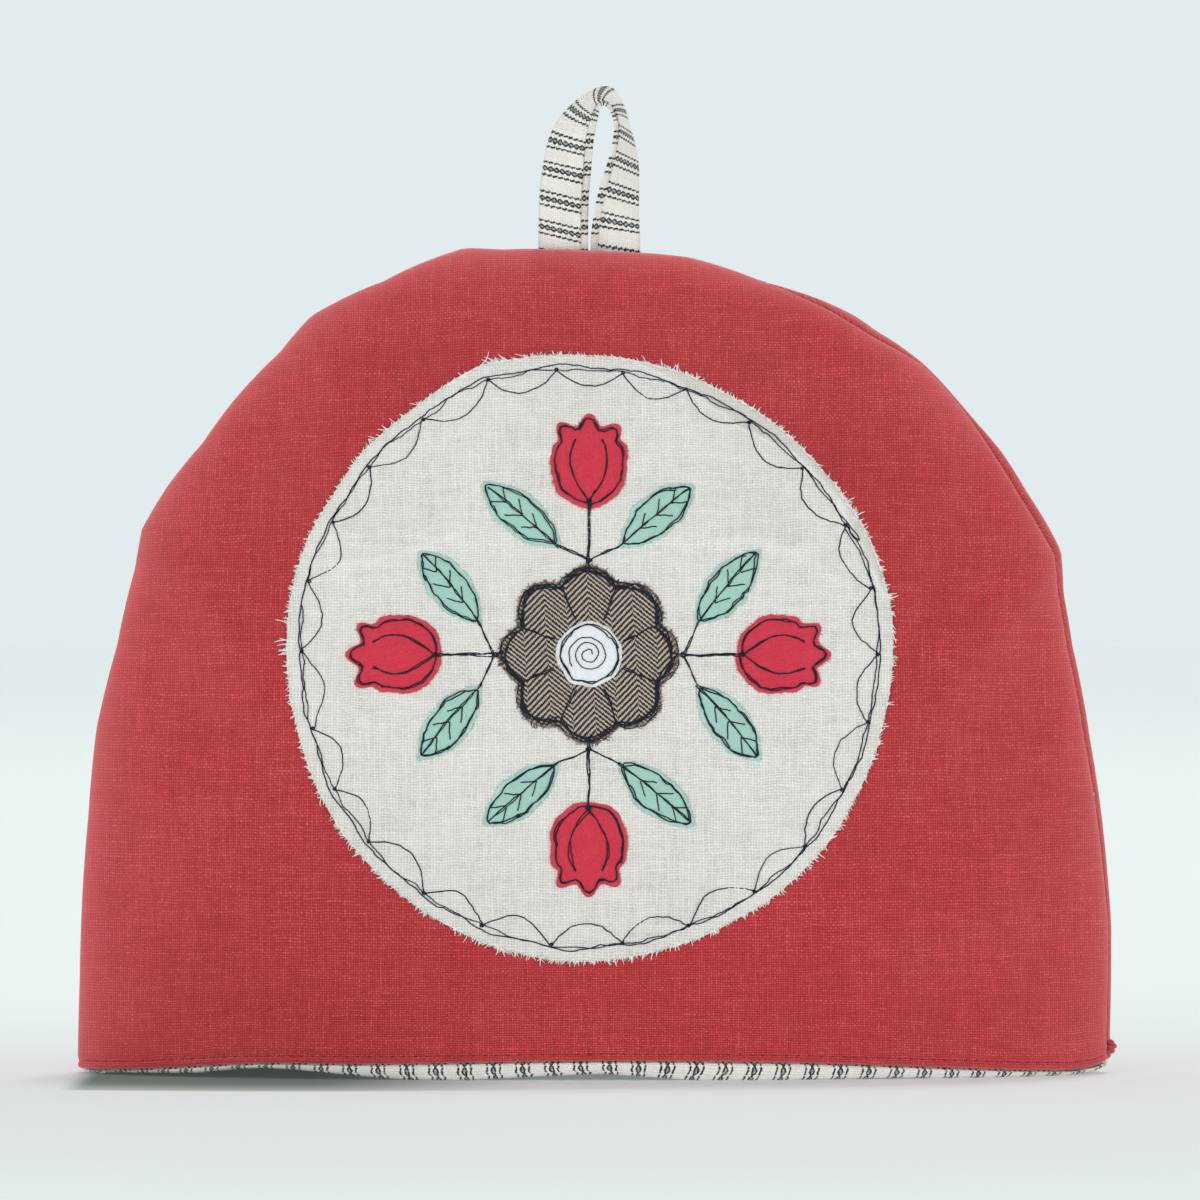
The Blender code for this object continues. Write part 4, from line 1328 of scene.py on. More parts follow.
@dataclass
class HangingLoop:
    """The folded ticking strap whose ends are caught in the top seam."""

    thickness: float = 1.6 * MM
    width: float = 16.3 * MM
    lip_width: float = 2.4 * MM
    lip_step: float = 0.7 * MM
    end_height: float = 266.8 * MM
    steps: int = 8
    pillow: float = 0.18 * MM
    stripe_row: float = 7 * MM

    FLAT_SIZE = (16.3 * MM, 114 * MM)
    # Where the stripe groups cross the strap, along its middle line, from the left end.
    STRIPES_MM = (-0.6, 9.0, 18.4, 28.3, 37.3, 48.0, 57.0, 65.5, 73.4, 82.5, 92.7, 102.4, 112.0)
    # Slope of the stripes, and how far the lip's stripes lie back, at the two ends.
    SLOPE = (0.25, 0.11)
    LIP_SHIFT = (-1.1 * MM, -1.4 * MM)

    def edges(self) -> tuple[Points, Points]:
        """Outer and inner edge points of the strap, end to end."""
        rows = round_rows(np.array(STRAP_SECTIONS), self.steps) * MM
        flat = np.hypot(rows[:, 0] - rows[:, 2], rows[:, 1] - rows[:, 3])
        turned = np.sqrt(np.maximum(self.width ** 2 - flat ** 2, 0.0)) / 2
        outer = np.column_stack([rows[:, 0], turned, rows[:, 1]])
        inner = np.column_stack([rows[:, 2], -turned, rows[:, 3]])
        edges = []
        for edge in (outer, inner):
            start, end = ([row[0], 0.0, self.end_height] for row in (edge[0], edge[-1]))
            edges.append(np.vstack([start, edge, end]))
        return edges[0], edges[1]

    def section(self) -> list[StrapRow]:
        """Points round the strap's section, from the middle of its back over its outer edge."""
        half = self.thickness / 2
        lip_round = (self.thickness - self.lip_step) / 2
        step = self.width - self.lip_width
        back = [StrapRow(share * self.width, -half, -share * self.width, False)
                for share in (0.85, 0.7, 0.5, 0.35, 0.2, 0.1)]
        edge = [StrapRow(half + half * math.cos(turn), half * math.sin(turn), 0.0, False)
                for turn in np.radians([270, 240, 210, 180, 150, 120])]
        front = [StrapRow(share * step, half + self.pillow * math.sin(math.pi * share),
                          share * step, False)
                 for share in (0.06, 0.15, 0.3, 0.45, 0.6, 0.75, 0.88, 0.96, 1.0)]
        drop = [StrapRow(step + out * MM, half - down * MM, step, False)
                for out, down in ((-0.02, 0.12), (0.0, 0.3), (-0.12, 0.5), (-0.3, 0.62))]
        lip = [StrapRow(step + out * MM, half - self.lip_step, step + out * MM, True)
               for out in (-0.28, 0.3, 1.0)]
        lip += [StrapRow(self.width - lip_round + lip_round * math.cos(turn),
                         lip_round - half + lip_round * math.sin(turn), self.width, True)
                for turn in np.radians([90, 45, 0, -45, -90])]
        return back[2:] + edge + front + drop + lip + back[:2]

    def stripe(self, length: float, whole: float, cloth: float, lip: bool) -> float:
        """Cloth coordinate across the stripes.

        Args:
            length: Distance along the strap.
            whole: The strap's whole length.
            cloth: Distance across the strap.
            lip: Whether the place is on the lip.

        Returns:
            The coordinate, a whole repeat of the ticking from group to group.
        """
        share = length / whole
        groups = np.arange(len(self.STRIPES_MM)) - 0.5
        place = np.interp(length / MM, self.STRIPES_MM, groups) * TickingFinish.REPEAT
        slope = self.SLOPE[0] + (self.SLOPE[1] - self.SLOPE[0]) * share
        if lip:
            return place + self.LIP_SHIFT[0] + (self.LIP_SHIFT[1] - self.LIP_SHIFT[0]) * share
        return place + slope * (cloth - self.stripe_row)

    def build(self, room: Workroom) -> None:
        """Builds and dresses the strap."""
        outer, inner = self.edges()
        middle = (outer + inner) / 2
        lengths = row_lengths(middle)
        across = unit(inner - outer)
        face = unit(np.cross(across, np.gradient(middle, axis=0)))
        face[[0, -1]] = (0.0, -1.0, 0.0)
        rows = self.section()
        around, stations = len(rows), len(middle)
        builder = bmesh.new()
        bmesh.ops.create_grid(builder, x_segments=around, y_segments=stations - 1, size=1.0)
        layer = builder.loops.layers.uv.new(CLOTH_MAP)
        drift = Ripple(91, 55 * MM)
        places = {vertex: (round((vertex.co.x + 1) / 2 * around),
                           round((vertex.co.y + 1) / 2 * (stations - 1)))
                  for vertex in builder.verts}
        for grid_face in builder.faces:
            lip = all(rows[places[loop.vert][0] % around].lip for loop in grid_face.loops)
            for loop in grid_face.loops:
                column, station = places[loop.vert]
                row = rows[column % around]
                loop[layer].uv = (self.stripe(lengths[station], lengths[-1], row.cloth, lip), row.cloth)
        for vertex, (column, station) in places.items():
            row = rows[column % around]
            swell = drift.at(lengths[station], row.across) * 0.12 * MM
            vertex.co = Vector(outer[station] + across[station] * row.across
                               + face[station] * (row.height + swell * np.sign(row.height)))
        bmesh.ops.remove_doubles(builder, verts=builder.verts, dist=0.002 * MM)
        rims = [edge for edge in builder.edges if edge.is_boundary]
        bmesh.ops.holes_fill(builder, edges=rims, sides=0)
        strap = room.finish_mesh("strap_loop", builder, "ticking")
        room.file(strap, "ticking", ["hanging_loop"])


# ---- Shapes sewn on the front ----
@dataclass(frozen=True)
class ClothShape:
    """A flat shape about a centre, its outline given as a radius by angle.

    It stands for a node, in its slot's cloth, and takes a share of the flat size that it is cut
    from. Its length points along the axis, in degrees, and its threads are turned from upright
    by turn, in radians. Low is the height of its underside above the cover. Spokes and rings
    say how finely it is cut, and the seed picks its hand-cut unevenness.
    """

    name: str
    node: str
    slot: str
    size: Spot
    share: float
    centre: Spot
    radius: Outline
    axis: float
    turn: float
    low: float
    thickness: float
    spokes: int
    rings: int
    seed: int
    unevenness: float = 0.35 * MM

    def reach(self, angle: Points) -> Points:
        """Outline radius with the unevenness of a cut by hand."""
        x, z = np.cos(angle), np.sin(angle)
        uneven = Ripple(self.seed, 0.9).at(x, z) + 0.4 * Ripple(self.seed + 1, 0.25).at(x, z)
        return self.radius(angle) + uneven * self.unevenness

    def polar(self, x: Points, z: Points) -> tuple[Points, Points]:
        """Angle and distance of plain points from the centre."""
        across, up = x - self.centre[0], z - self.centre[1]
        return np.arctan2(up, across), np.hypot(across, up)

    def inside(self, x: Points, z: Points) -> Points:
        """How far plain points lie inside the outline, negative outside."""
        angle, distance = self.polar(x, z)
        return self.reach(angle) - distance

    def rim(self, angle: Points, inset: float = 0.0) -> Points:
        """Plain points a little inside the outline, one row of x and z for each angle."""
        return round_points(self.centre, self.reach(angle) - inset, angle)

    def flat(self) -> BMesh:
        """Cuts the shape: rings drawn in from its outline to a point."""
        cut = bmesh.new()
        bmesh.ops.create_circle(cut, cap_ends=False, segments=self.spokes, radius=1.0)
        for vertex in cut.verts:
            place = self.rim(np.array([math.atan2(vertex.co.y, vertex.co.x)]))[0]
            vertex.co = (place[0], 0.0, place[1])
        middle = Vector((self.centre[0], 0.0, self.centre[1]))
        ring_edges = cut.edges[:]
        for ring in range(self.rings, 0, -1):
            made = bmesh.ops.extrude_edge_only(cut, edges=ring_edges)["geom"]
            ring_edges = parts_of(BMEdge, made)
            points = parts_of(BMVert, made)
            for vertex in points:
                vertex.co = middle + (vertex.co - middle) * ((ring - 1) / ring)
        bmesh.ops.pointmerge(cut, verts=points, merge_co=middle)
        close_skins(cut, self.thickness)
        return cut


@dataclass(frozen=True)
class Layering:
    """The shapes sewn on the front, layer over layer."""

    form: DomeForm
    shapes: tuple[ClothShape, ...]

    EDGE_SLOPE = 0.5 * MM

    def top(self, x: Points, z: Points) -> Points:
        """Height of the uppermost cloth above the cover's face at plain points."""
        level = np.zeros_like(x)
        for shape in self.shapes:
            share = smooth_step(-self.EDGE_SLOPE / 2, self.EDGE_SLOPE / 2, shape.inside(x, z))
            level = np.maximum(level, (shape.low + shape.thickness) * share)
        return level


def leaf_outline(size: Spot, turn: float) -> Outline:
    """Almond of two arcs that points along a turned axis."""
    half_width, half_length = size[0] / 2, size[1] / 2
    arc = (half_length ** 2 + half_width ** 2) / (2 * half_width)
    sink = arc - half_width

    def radius(angle: Points) -> Points:
        rise = np.abs(np.sin(angle - turn)) * sink
        return np.sqrt(rise ** 2 + arc ** 2 - sink ** 2) - rise
    return radius


def tulip_outline(size: Spot, turn: float) -> Outline:
    """Tulip seen from the side: round below, with three points at its mouth."""
    power, mouth_half, points = 2.3, 0.68, 0.13

    def radius(angle: Points) -> Points:
        local = (angle - turn + math.pi) % TURN - math.pi
        along, side = np.cos(local) / (size[1] / 2), np.sin(local) / (size[0] / 2)
        cup = (np.abs(along) ** power + np.abs(side) ** power) ** (-1 / power)
        mouth = 1 - smooth_step(0.75, 1.25, np.abs(local))
        return cup * (1 + points * mouth * (np.cos(TURN * local / mouth_half) - 0.15))
    return radius


def petal_outline(reach: float, petals: int = 1, scallop: float = 0.0) -> Outline:
    """Round flower with scalloped petals, or a plain round."""
    def radius(angle: Points) -> Points:
        return reach * (1 + scallop * (np.abs(np.cos(petals * angle / 2)) * 2 - 1))
    return radius


def patch_outline(reach: float) -> Outline:
    """Raw-cut circle, a little uneven."""
    def radius(angle: Points) -> Points:
        wobble = 0.5 * np.sin(3 * angle + 1.0) + 0.35 * np.sin(7 * angle + 0.4)
        return reach + wobble * MM
    return radius


@dataclass(frozen=True)
class FlowerPlan:
    """A plain folk rosette with four tulips and eight leaves on a round linen patch."""

    centre: Spot = (-2 * MM, 137 * MM)
    patch_radius: float = 98 * MM
    patch_low: float = 0.35 * MM
    patch_thickness: float = 0.75 * MM
    motif_low: float = 1.25 * MM
    motif_thickness: float = 0.6 * MM
    middle_low: float = 2.0 * MM
    rosette_radius: float = 27 * MM
    petals: int = 8
    scallop: float = 0.07
    middle_radius: float = 10.5 * MM
    tulip_distance: float = 62 * MM
    tulip_size: Spot = (25 * MM, 29 * MM)
    leaf_distance: float = 50 * MM
    leaf_size: Spot = (13.5 * MM, 32 * MM)
    leaf_spread: float = 26.0
    leaf_turn: float = 24.0
    arms: tuple[float, ...] = (0.0, 90.0, 180.0, 270.0)

    ROUND_SHARE = 0.785
    TULIP_SHARE = 0.80
    LEAF_SHARE = 0.67

    def spot(self, distance: float, degrees: float) -> Spot:
        """Plain point at a distance and bearing from the patch's centre."""
        angle = math.radians(degrees)
        return (self.centre[0] + distance * math.cos(angle),
                self.centre[1] + distance * math.sin(angle))

    def rounds(self) -> list[ClothShape]:
        """The linen patch, the tweed rosette and the rosette's white middle."""
        petals = petal_outline(self.rosette_radius, self.petals, self.scallop)
        rows = (
            ("linen_round", "round_patch", "natural_linen", self.patch_radius,
             patch_outline(self.patch_radius), 0.0, self.patch_low, self.patch_thickness,
             400, 84, 201, 0.3 * MM),
            ("tweed_rosette", "rosette", "tweed", self.rosette_radius, petals, 0.06,
             self.motif_low, self.motif_thickness + 0.15 * MM, 192, 22, 203),
            ("white_middle", "rosette_middle", "white_cotton", self.middle_radius,
             petal_outline(self.middle_radius), 0.2, self.middle_low, self.motif_thickness,
             80, 10, 205, 0.3 * MM),
        )
        return [ClothShape(name, node, slot, (2 * reach, 2 * reach), self.ROUND_SHARE,
                           self.centre, outline, 0.0, *rest)
                for name, node, slot, reach, outline, *rest in rows]

    def tulips(self) -> list[ClothShape]:
        """The four tulips."""
        return [ClothShape(f"red_tulip_{number}", f"tulip_{number}", "bright_red_cotton",
                           self.tulip_size, self.TULIP_SHARE,
                           self.spot(self.tulip_distance, bearing),
                           tulip_outline(self.tulip_size, math.radians(bearing)), bearing,
                           math.radians(bearing) + 0.08 * number, self.motif_low,
                           self.motif_thickness, 128, 14, 210 + 2 * number)
                for number, bearing in enumerate(self.arms, 1)]

    def leaves(self) -> list[ClothShape]:
        """The eight leaves, in the order of the solids."""
        hands = [(bearing, hand) for bearing in self.arms for hand in (-1, 1)]
        made = []
        for number, (bearing, hand) in enumerate(hands, 1):
            axis = bearing + hand * (self.leaf_spread + self.leaf_turn)
            turn = math.radians(axis)
            made.append(ClothShape(
                f"teal_leaf_{number}", f"leaf_{number}", "teal_cotton", self.leaf_size,
                self.LEAF_SHARE, self.spot(self.leaf_distance, bearing + hand * self.leaf_spread),
                leaf_outline(self.leaf_size, turn), axis, turn + 0.1 * number, self.motif_low,
                self.motif_thickness, 112, 12, 230 + 2 * number))
        return made


# ---- Drawing with the needle ----
@dataclass
class NeedleWork:
    """Free-motion stitching: sketchy doubled lines in navy thread."""

    layering: Layering
    thread_radius: float = 0.21 * MM
    holes: list[Points] = field(default_factory=list)
    seed: int = 400

    STITCH = 1.7 * MM
    DENT_DEPTH = 0.22 * MM
    DENT_WIDTH = 1.3 * MM
    HOLE_SINK = 0.06 * MM
    LOOK_AHEAD = 0.3 * MM
    JUMP = 0.09 * MM
    KNOT_HOLES = 15
    KNOT_TURNS = 3.2

    def draw(self, path: Points, passes: int, stray: float, stitch: float = STITCH) -> None:
        """Sews over a line a few times, never quite the same way.

        Args:
            path: Plain points of the line, one row of x and z for each.
            passes: How many times the needle runs along it.
            stray: How far the passes stray from it.
            stitch: Typical stitch length.
        """
        length = row_lengths(path)[-1]
        for number in range(passes):
            self.seed += 1
            chance = np.random.default_rng(self.seed)
            count = max(2, round(length / stitch))
            places = np.linspace(0, length, count + 1)
            places[1:-1] += chance.normal(0, 0.14 * stitch, count - 1)
            spots = spaced_rows(path, places)
            ahead = unit(spaced_rows(path, np.minimum(places + self.LOOK_AHEAD, length))
                         - spaced_rows(path, np.maximum(places - self.LOOK_AHEAD, 0.0)))
            side = np.column_stack([-ahead[:, 1], ahead[:, 0]])
            drift = Ripple(self.seed, 16 * MM).at(places) + 0.35 * Ripple(self.seed, 4 * MM).at(places)
            apart = (number - (passes - 1) / 2) * 0.5
            jump = chance.normal(0, self.JUMP, count + 1)
            self.holes.append(spots + side * ((drift * 0.7 + apart) * stray + jump)[:, None])

    def knot(self, spot: Spot | Points, size: float) -> None:
        """Sews on the spot, round and round, as at the end of a line."""
        self.seed += 1
        chance = np.random.default_rng(self.seed)
        turns = np.linspace(0, TURN * self.KNOT_TURNS, self.KNOT_HOLES) + chance.uniform(0, TURN)
        reach = size * (0.55 + 0.45 * chance.random(self.KNOT_HOLES))
        self.holes.append(np.column_stack([spot[0] + reach * np.cos(turns),
                                           spot[1] + reach * np.sin(turns) * 0.8]))

    def dents(self) -> Relief:
        """How deep the thread pulls the cloth in at plain points."""
        stack = np.vstack([np.vstack([run, (run[1:] + run[:-1]) / 2]) for run in self.holes])
        tree = KDTree(len(stack))
        for number, (x, z) in enumerate(stack):
            tree.insert((x, z, 0.0), number)
        tree.balance()

        def depth(x: Points, z: Points) -> Points:
            apart = np.array([tree.find((a, b, 0.0))[2] for a, b in zip(x, z)])
            return self.DENT_DEPTH * hump(apart, self.DENT_WIDTH)
        return depth

    def build(self, room: Workroom, dents: Relief) -> Object:
        """Spins the thread of every line, low at the holes and proud between them."""
        runs = []
        for holes in self.holes:
            steps = np.diff(holes, axis=0)
            rows = np.stack([holes[:-1], holes[:-1] + steps * 0.3, holes[:-1] + steps * 0.7], axis=1)
            plain = np.vstack([rows.reshape(-1, 2), holes[-1:]])
            sunk = np.where(np.arange(len(plain)) % 3 == 0, self.HOLE_SINK, -0.5 * self.thread_radius)
            x, z = plain.T
            level = self.layering.top(x, z) - dents(x, z) * 0.5 - sunk
            places = self.layering.form.above_front(x, z, np.maximum(level, 0.05 * MM))
            runs.append(ThreadRun(places, self.thread_radius))
        return room.spin_threads("navy_stitching", runs, "navy_thread")


@dataclass(frozen=True)
class StitchDrawing:
    """Which lines are sewn on the patch and its flowers."""

    plan: FlowerPlan
    needle: NeedleWork
    ring_inset: float = 4.6 * MM
    scallops: int = 26
    scallop_depth: float = 6 * MM

    def ring(self, patch: ClothShape) -> None:
        """A doubled ring inside the patch's rim, with scallops hung from it."""
        angles = np.linspace(0, TURN * 1.012, 400) + 0.4
        self.needle.draw(patch.rim(angles, self.ring_inset), 2, 0.9 * MM)
        touches = np.linspace(0, TURN, self.scallops + 1)
        chance = np.random.default_rng(5)
        touches[1:-1] += chance.normal(0, 0.012, self.scallops - 1)
        spots = patch.rim(touches, self.ring_inset + 0.4 * MM)
        share = np.linspace(0, 1, 24)[:, None]
        for start, end in zip(spots, spots[1:]):
            bulge = self.scallop_depth * chance.uniform(0.85, 1.15)
            inward = np.array(patch.centre) - (start + end) / 2
            inward /= np.linalg.norm(inward)
            arc = start * (1 - share) + end * share + inward * bulge * np.sin(math.pi * share)
            self.needle.draw(arc, 1, 0.5 * MM)
        for spot in spots[:-1]:
            self.needle.knot(spot, 0.7 * MM)

    def outline(self, shape: ClothShape, inset: float, passes: int = 2) -> None:
        """A line that follows a shape's edge a little inside it."""
        angles = np.linspace(0, TURN * 1.02, 260) + shape.turn
        self.needle.draw(shape.rim(angles, inset), passes, 0.45 * MM)

    def stems(self, leaves: list[ClothShape]) -> None:
        """Stems from the rosette out to the tulips, with the leaf stalks that leave them."""
        plan = self.plan
        start = plan.rosette_radius * (1 + plan.scallop) - 1.5 * MM
        end = plan.tulip_distance - plan.tulip_size[1] / 2 + 2 * MM
        for number, bearing in enumerate(plan.arms):
            foot, head = np.array(plan.spot(start, bearing)), np.array(plan.spot(end, bearing))
            self.needle.draw(np.linspace(foot, head, 14), 3, 0.5 * MM)
            joint = np.array(plan.spot(start + 3 * MM, bearing))
            self.needle.knot(joint, 1.1 * MM)
            for leaf in leaves[2 * number:2 * number + 2]:
                tip = leaf.centre - headings(leaf.axis)[0] * (plan.leaf_size[1] / 2 - 0.5 * MM)
                self.needle.draw(np.linspace(joint, tip, 10), 2, 0.4 * MM)

    def leaf(self, shape: ClothShape) -> None:
        """Edge line, midrib and side veins of a leaf."""
        self.outline(shape, 1.5 * MM)
        out = np.subtract(shape.centre, self.plan.centre)
        bend = 0.6 * MM * out[0] / np.hypot(*out)
        axis, side = headings(shape.axis)
        half = self.plan.leaf_size[1] / 2
        share = np.linspace(-1, 0.86, 20)[:, None]
        rib = shape.centre + axis * share * half + side * (1 - share ** 2) * bend
        self.needle.draw(rib, 2, 0.35 * MM)
        for place in (-0.42, -0.02, 0.38):
            root = shape.centre + axis * place * half
            for hand in (-1, 1):
                tip = root + axis * 4.2 * MM + side * hand * (3.6 - 1.6 * abs(place)) * MM
                self.needle.draw(np.vstack([root, tip]), 1, 0.2 * MM, 1.3 * MM)

    def tulip(self, shape: ClothShape) -> None:
        """Edge line and two petal lines of a tulip."""
        self.outline(shape, 1.6 * MM)
        axis, side = headings(shape.axis)
        foot = shape.centre - axis * (self.plan.tulip_size[1] / 2 - 2 * MM)
        share = np.linspace(0, 1, 24)[:, None]
        for hand in (-1, 1):
            petal = foot + axis * share * 20 * MM + side * hand * np.sin(share * 2.4) * 6.2 * MM
            self.needle.draw(petal, 2, 0.4 * MM)
        self.needle.knot(foot, 1.0 * MM)

    def rosette(self, shape: ClothShape, middle: ClothShape) -> None:
        """Edge line, petal lines and the middle's rings."""
        self.outline(shape, 2.0 * MM, 3)
        self.needle.draw(shape.rim(np.linspace(0, TURN, 260), 1.3 * MM), 3, 1.1 * MM, 1.2 * MM)
        for petal in range(self.plan.petals):
            bearing = 360 * (petal + 0.5) / self.plan.petals
            start = self.plan.spot(self.plan.middle_radius + 1.5 * MM, bearing)
            end = self.plan.spot(self.plan.rosette_radius - 3.5 * MM, bearing)
            self.needle.draw(np.linspace(start, end, 12), 2, 0.5 * MM)
        self.outline(middle, 1.3 * MM)
        reach, turns = np.linspace(1.2, 6.5, 90) * MM, np.linspace(0, TURN * 2.6, 90)
        self.needle.draw(round_points(middle.centre, reach, turns), 1, 0.3 * MM, 1.4 * MM)


# ---- Raw edges ----
@dataclass(frozen=True)
class FrayRule:
    """How a raw edge comes undone.

    Attributes:
        count: Loose ends round the edge.
        short: Length of the shortest.
        long: Length of the longest of the common ones.
        radius: Half the thickness of an end at its root.
        lean: How far ends lean from straight out, in radians.
        droop: How far above the cloth below they lie.
        long_ends: Extra long ends: angle and spread in degrees, count, length.
    """

    count: int
    short: float
    long: float
    radius: float
    lean: float
    droop: float
    long_ends: tuple[tuple[float, float, int, float], ...] = ()

    ALONG_THREADS = 0.6


@dataclass
class RawEdge:
    """Loose yarn ends round one cut shape."""

    shape: ClothShape
    rule: FrayRule
    layering: Layering
    seed: int

    def end(self, chance: np.random.Generator, angle: float, length: float, lean: float) -> ThreadRun:
        """One loose end, from inside the cloth out over what lies below it."""
        root = self.shape.rim(np.array([angle]), 0.5 * MM)[0]
        local = angle - self.shape.turn
        threads = (math.pi / 2 * np.sign(math.sin(local)),
                   0.0 if math.cos(local) > 0 else math.pi * np.sign(math.sin(local)))
        thread = threads[0 if chance.random() < math.sin(local) ** 2 else 1] + self.shape.turn
        across = (thread - angle + math.pi) % TURN - math.pi
        swirl = 0.7 * float(Ripple(self.seed, 0.35).at(math.cos(angle), math.sin(angle)))
        heading = angle + across * self.rule.ALONG_THREADS + lean + swirl
        bend = chance.normal(0, 0.35)
        share = np.linspace(0, 1, 5)
        turn = heading + bend * share ** 1.5
        steps = np.diff(share * (length + 0.5 * MM), prepend=0.0)
        x = root[0] + np.cumsum(steps * np.cos(turn))
        z = root[1] + np.cumsum(steps * np.sin(turn))
        edge_level = self.shape.low + self.shape.thickness * chance.uniform(0.25, 0.8)
        below = np.where(self.shape.inside(x, z) > 0, edge_level, self.layering.top(x, z))
        lift = self.rule.droop * chance.uniform(0.4, 1.4) * np.linspace(0.3, 1, 5)
        level = np.maximum(below + lift, edge_level * np.linspace(1, 0.25, 5))
        taper = np.array([1, 1, 0.95, 0.8, 0.45]) * self.rule.radius * chance.uniform(0.7, 1.2)
        return ThreadRun(self.layering.form.above_front(x, z, level), taper)

    def runs(self) -> list[ThreadRun]:
        """Every loose end of the edge."""
        chance = np.random.default_rng(self.seed)
        ends = []
        for _ in range(self.rule.count):
            angle = chance.uniform(0, TURN)
            length = self.rule.short + (self.rule.long - self.rule.short) * chance.random() ** 2
            ends.append(self.end(chance, angle, length, chance.normal(0, self.rule.lean)))
        for middle, spread, count, length in self.rule.long_ends:
            side = chance.choice([-1, 1])
            for _ in range(count):
                angle = math.radians(middle + chance.uniform(-spread, spread))
                lean = side * abs(chance.normal(0.6, 0.35))
                ends.append(self.end(chance, angle, length * chance.uniform(0.5, 1.1), lean))
        return ends


@dataclass
class FrontAppliques:
    """The patch, its flowers, the thread that holds them and their raw edges."""

    room: Workroom
    form: DomeForm
    plan: FlowerPlan = FlowerPlan()

    RIM_DROP = 0.25 * MM
    RIM_WIDTH = 2.2 * MM
    EDGE_TONE_WIDTH = 1.1 * MM
    WRINKLE = 0.16 * MM
    BACKING_STEP = 0.30 * MM
    BACKING_FADE = 0.45 * MM
    FRAY_SEED = 500
    SMALL_FRAY = FrayRule(80, 0.2 * MM, 1.0 * MM, 0.10 * MM, 0.5, 0.10 * MM)
    # How each cloth frays, and in which yarn.
    FRAYS = {
        "natural_linen": (FrayRule(
            1500, 0.5 * MM, 1.9 * MM, 0.19 * MM, 0.4, 0.12 * MM,
            ((104, 5, 6, 4.4 * MM), (112, 3, 3, 5.5 * MM), (76, 8, 14, 3.2 * MM),
             (130, 6, 8, 3 * MM), (175, 3, 3, 5.5 * MM), (186, 10, 10, 2.8 * MM),
             (12, 8, 12, 3.2 * MM), (28, 4, 6, 3 * MM), (214, 8, 10, 2.8 * MM),
             (252, 10, 14, 2.8 * MM), (282, 8, 12, 2.6 * MM), (318, 9, 12, 2.6 * MM),
             (346, 5, 7, 2.6 * MM))), "linen_thread"),
        "tweed": (FrayRule(420, 0.3 * MM, 1.5 * MM, 0.15 * MM, 0.6, 0.15 * MM), "tweed_thread"),
        "white_cotton": (FrayRule(60, 0.2 * MM, 0.9 * MM, 0.10 * MM, 0.5, 0.10 * MM),
                         "linen_thread"),
        "bright_red_cotton": (SMALL_FRAY, "bright_thread"),
        "teal_cotton": (SMALL_FRAY, "teal_thread"),
    }

    def level(self, shape: ClothShape, dents: Relief, flat: Points) -> Points:
        """Height above the cover of each point of a flat cut."""
        x, rise, z = flat.T
        inside = shape.inside(x, z)
        level = shape.low + rise - dents(x, z)
        level = level - self.RIM_DROP * hump(np.maximum(inside, 0.0), self.RIM_WIDTH)
        if shape.slot == "natural_linen":
            level = level - self.BACKING_STEP * self.unbacked(shape, x, z)
            wrinkle = Ripple(301, 21 * MM).at(x, z * 2.2) * Ripple(302, 80 * MM).at(x, z)
            level = level + self.WRINKLE * wrinkle * smooth_step(0, 12 * MM, inside)
            for crease in CREASES:
                level = level - crease.depth * MM * crease.at(x / MM, z / MM)
        return np.maximum(level, 0.05 * MM + rise * 0.8)

    def unbacked(self, shape: ClothShape, x: Points, z: Points, offset: float = 0.0) -> Points:
        """1 where the patch lies past its backing, else 0."""
        angle, distance = shape.polar(x, z)
        backed = read_table(BACKING, np.degrees(angle)) + offset
        return smooth_step(-self.BACKING_FADE, self.BACKING_FADE, distance - backed)

    def edge_tone(self, shape: ClothShape, flat: Points) -> Points:
        """Tone of the raw edge; on the patch, dull where unbacked, with a painted highlight along the
        fold at the backing's edge and painted highlights and shade along the creases.
        """
        x, _, z = flat.T
        if shape.slot != "natural_linen":
            return hump(np.maximum(shape.inside(x, z), 0.0), self.EDGE_TONE_WIDTH)
        outside = self.unbacked(shape, x, z)
        # A painted highlight along the fold just inside the backing's edge.
        fold = self.unbacked(shape, x, z, -1.5 * MM) - outside
        tone = 0.8 * outside - 0.7 * fold
        # Painted highlights on the creases' ridges and painted shade in their troughs.
        for crease in CREASES:
            tone = tone - crease.tone * crease.at(x / MM, z / MM)
        return tone

    def lay(self, shape: ClothShape, dents: Relief, cloth: ClothMap) -> Object:
        """Lays one cut shape on the front."""
        def spread(flat: Points) -> Points:
            return self.form.above_front(flat[:, 0], flat[:, 2], self.level(shape, dents, flat))

        def threads(flat: Points) -> Points:
            across, along = cloth.at(flat[:, 0], flat[:, 2]).T
            cos, sin = math.cos(-shape.turn), math.sin(-shape.turn)
            return np.column_stack([across * cos - along * sin, across * sin + along * cos])
        return self.room.sew(shape.name, shape.flat(), shape.slot, shape.node, spread, threads,
                             lambda flat: self.edge_tone(shape, flat))

    def frays(self, layering: Layering) -> dict[str, Object]:
        """Frays every raw edge, one piece for each cloth."""
        made = {}
        for slot, (rule, yarn) in self.FRAYS.items():
            runs = []
            for number, shape in enumerate(layering.shapes):
                if shape.slot == slot:
                    runs += RawEdge(shape, rule, layering, self.FRAY_SEED + number).runs()
            made[slot] = self.room.spin_threads(f"{slot}_frays", runs, yarn, slot)
        return made

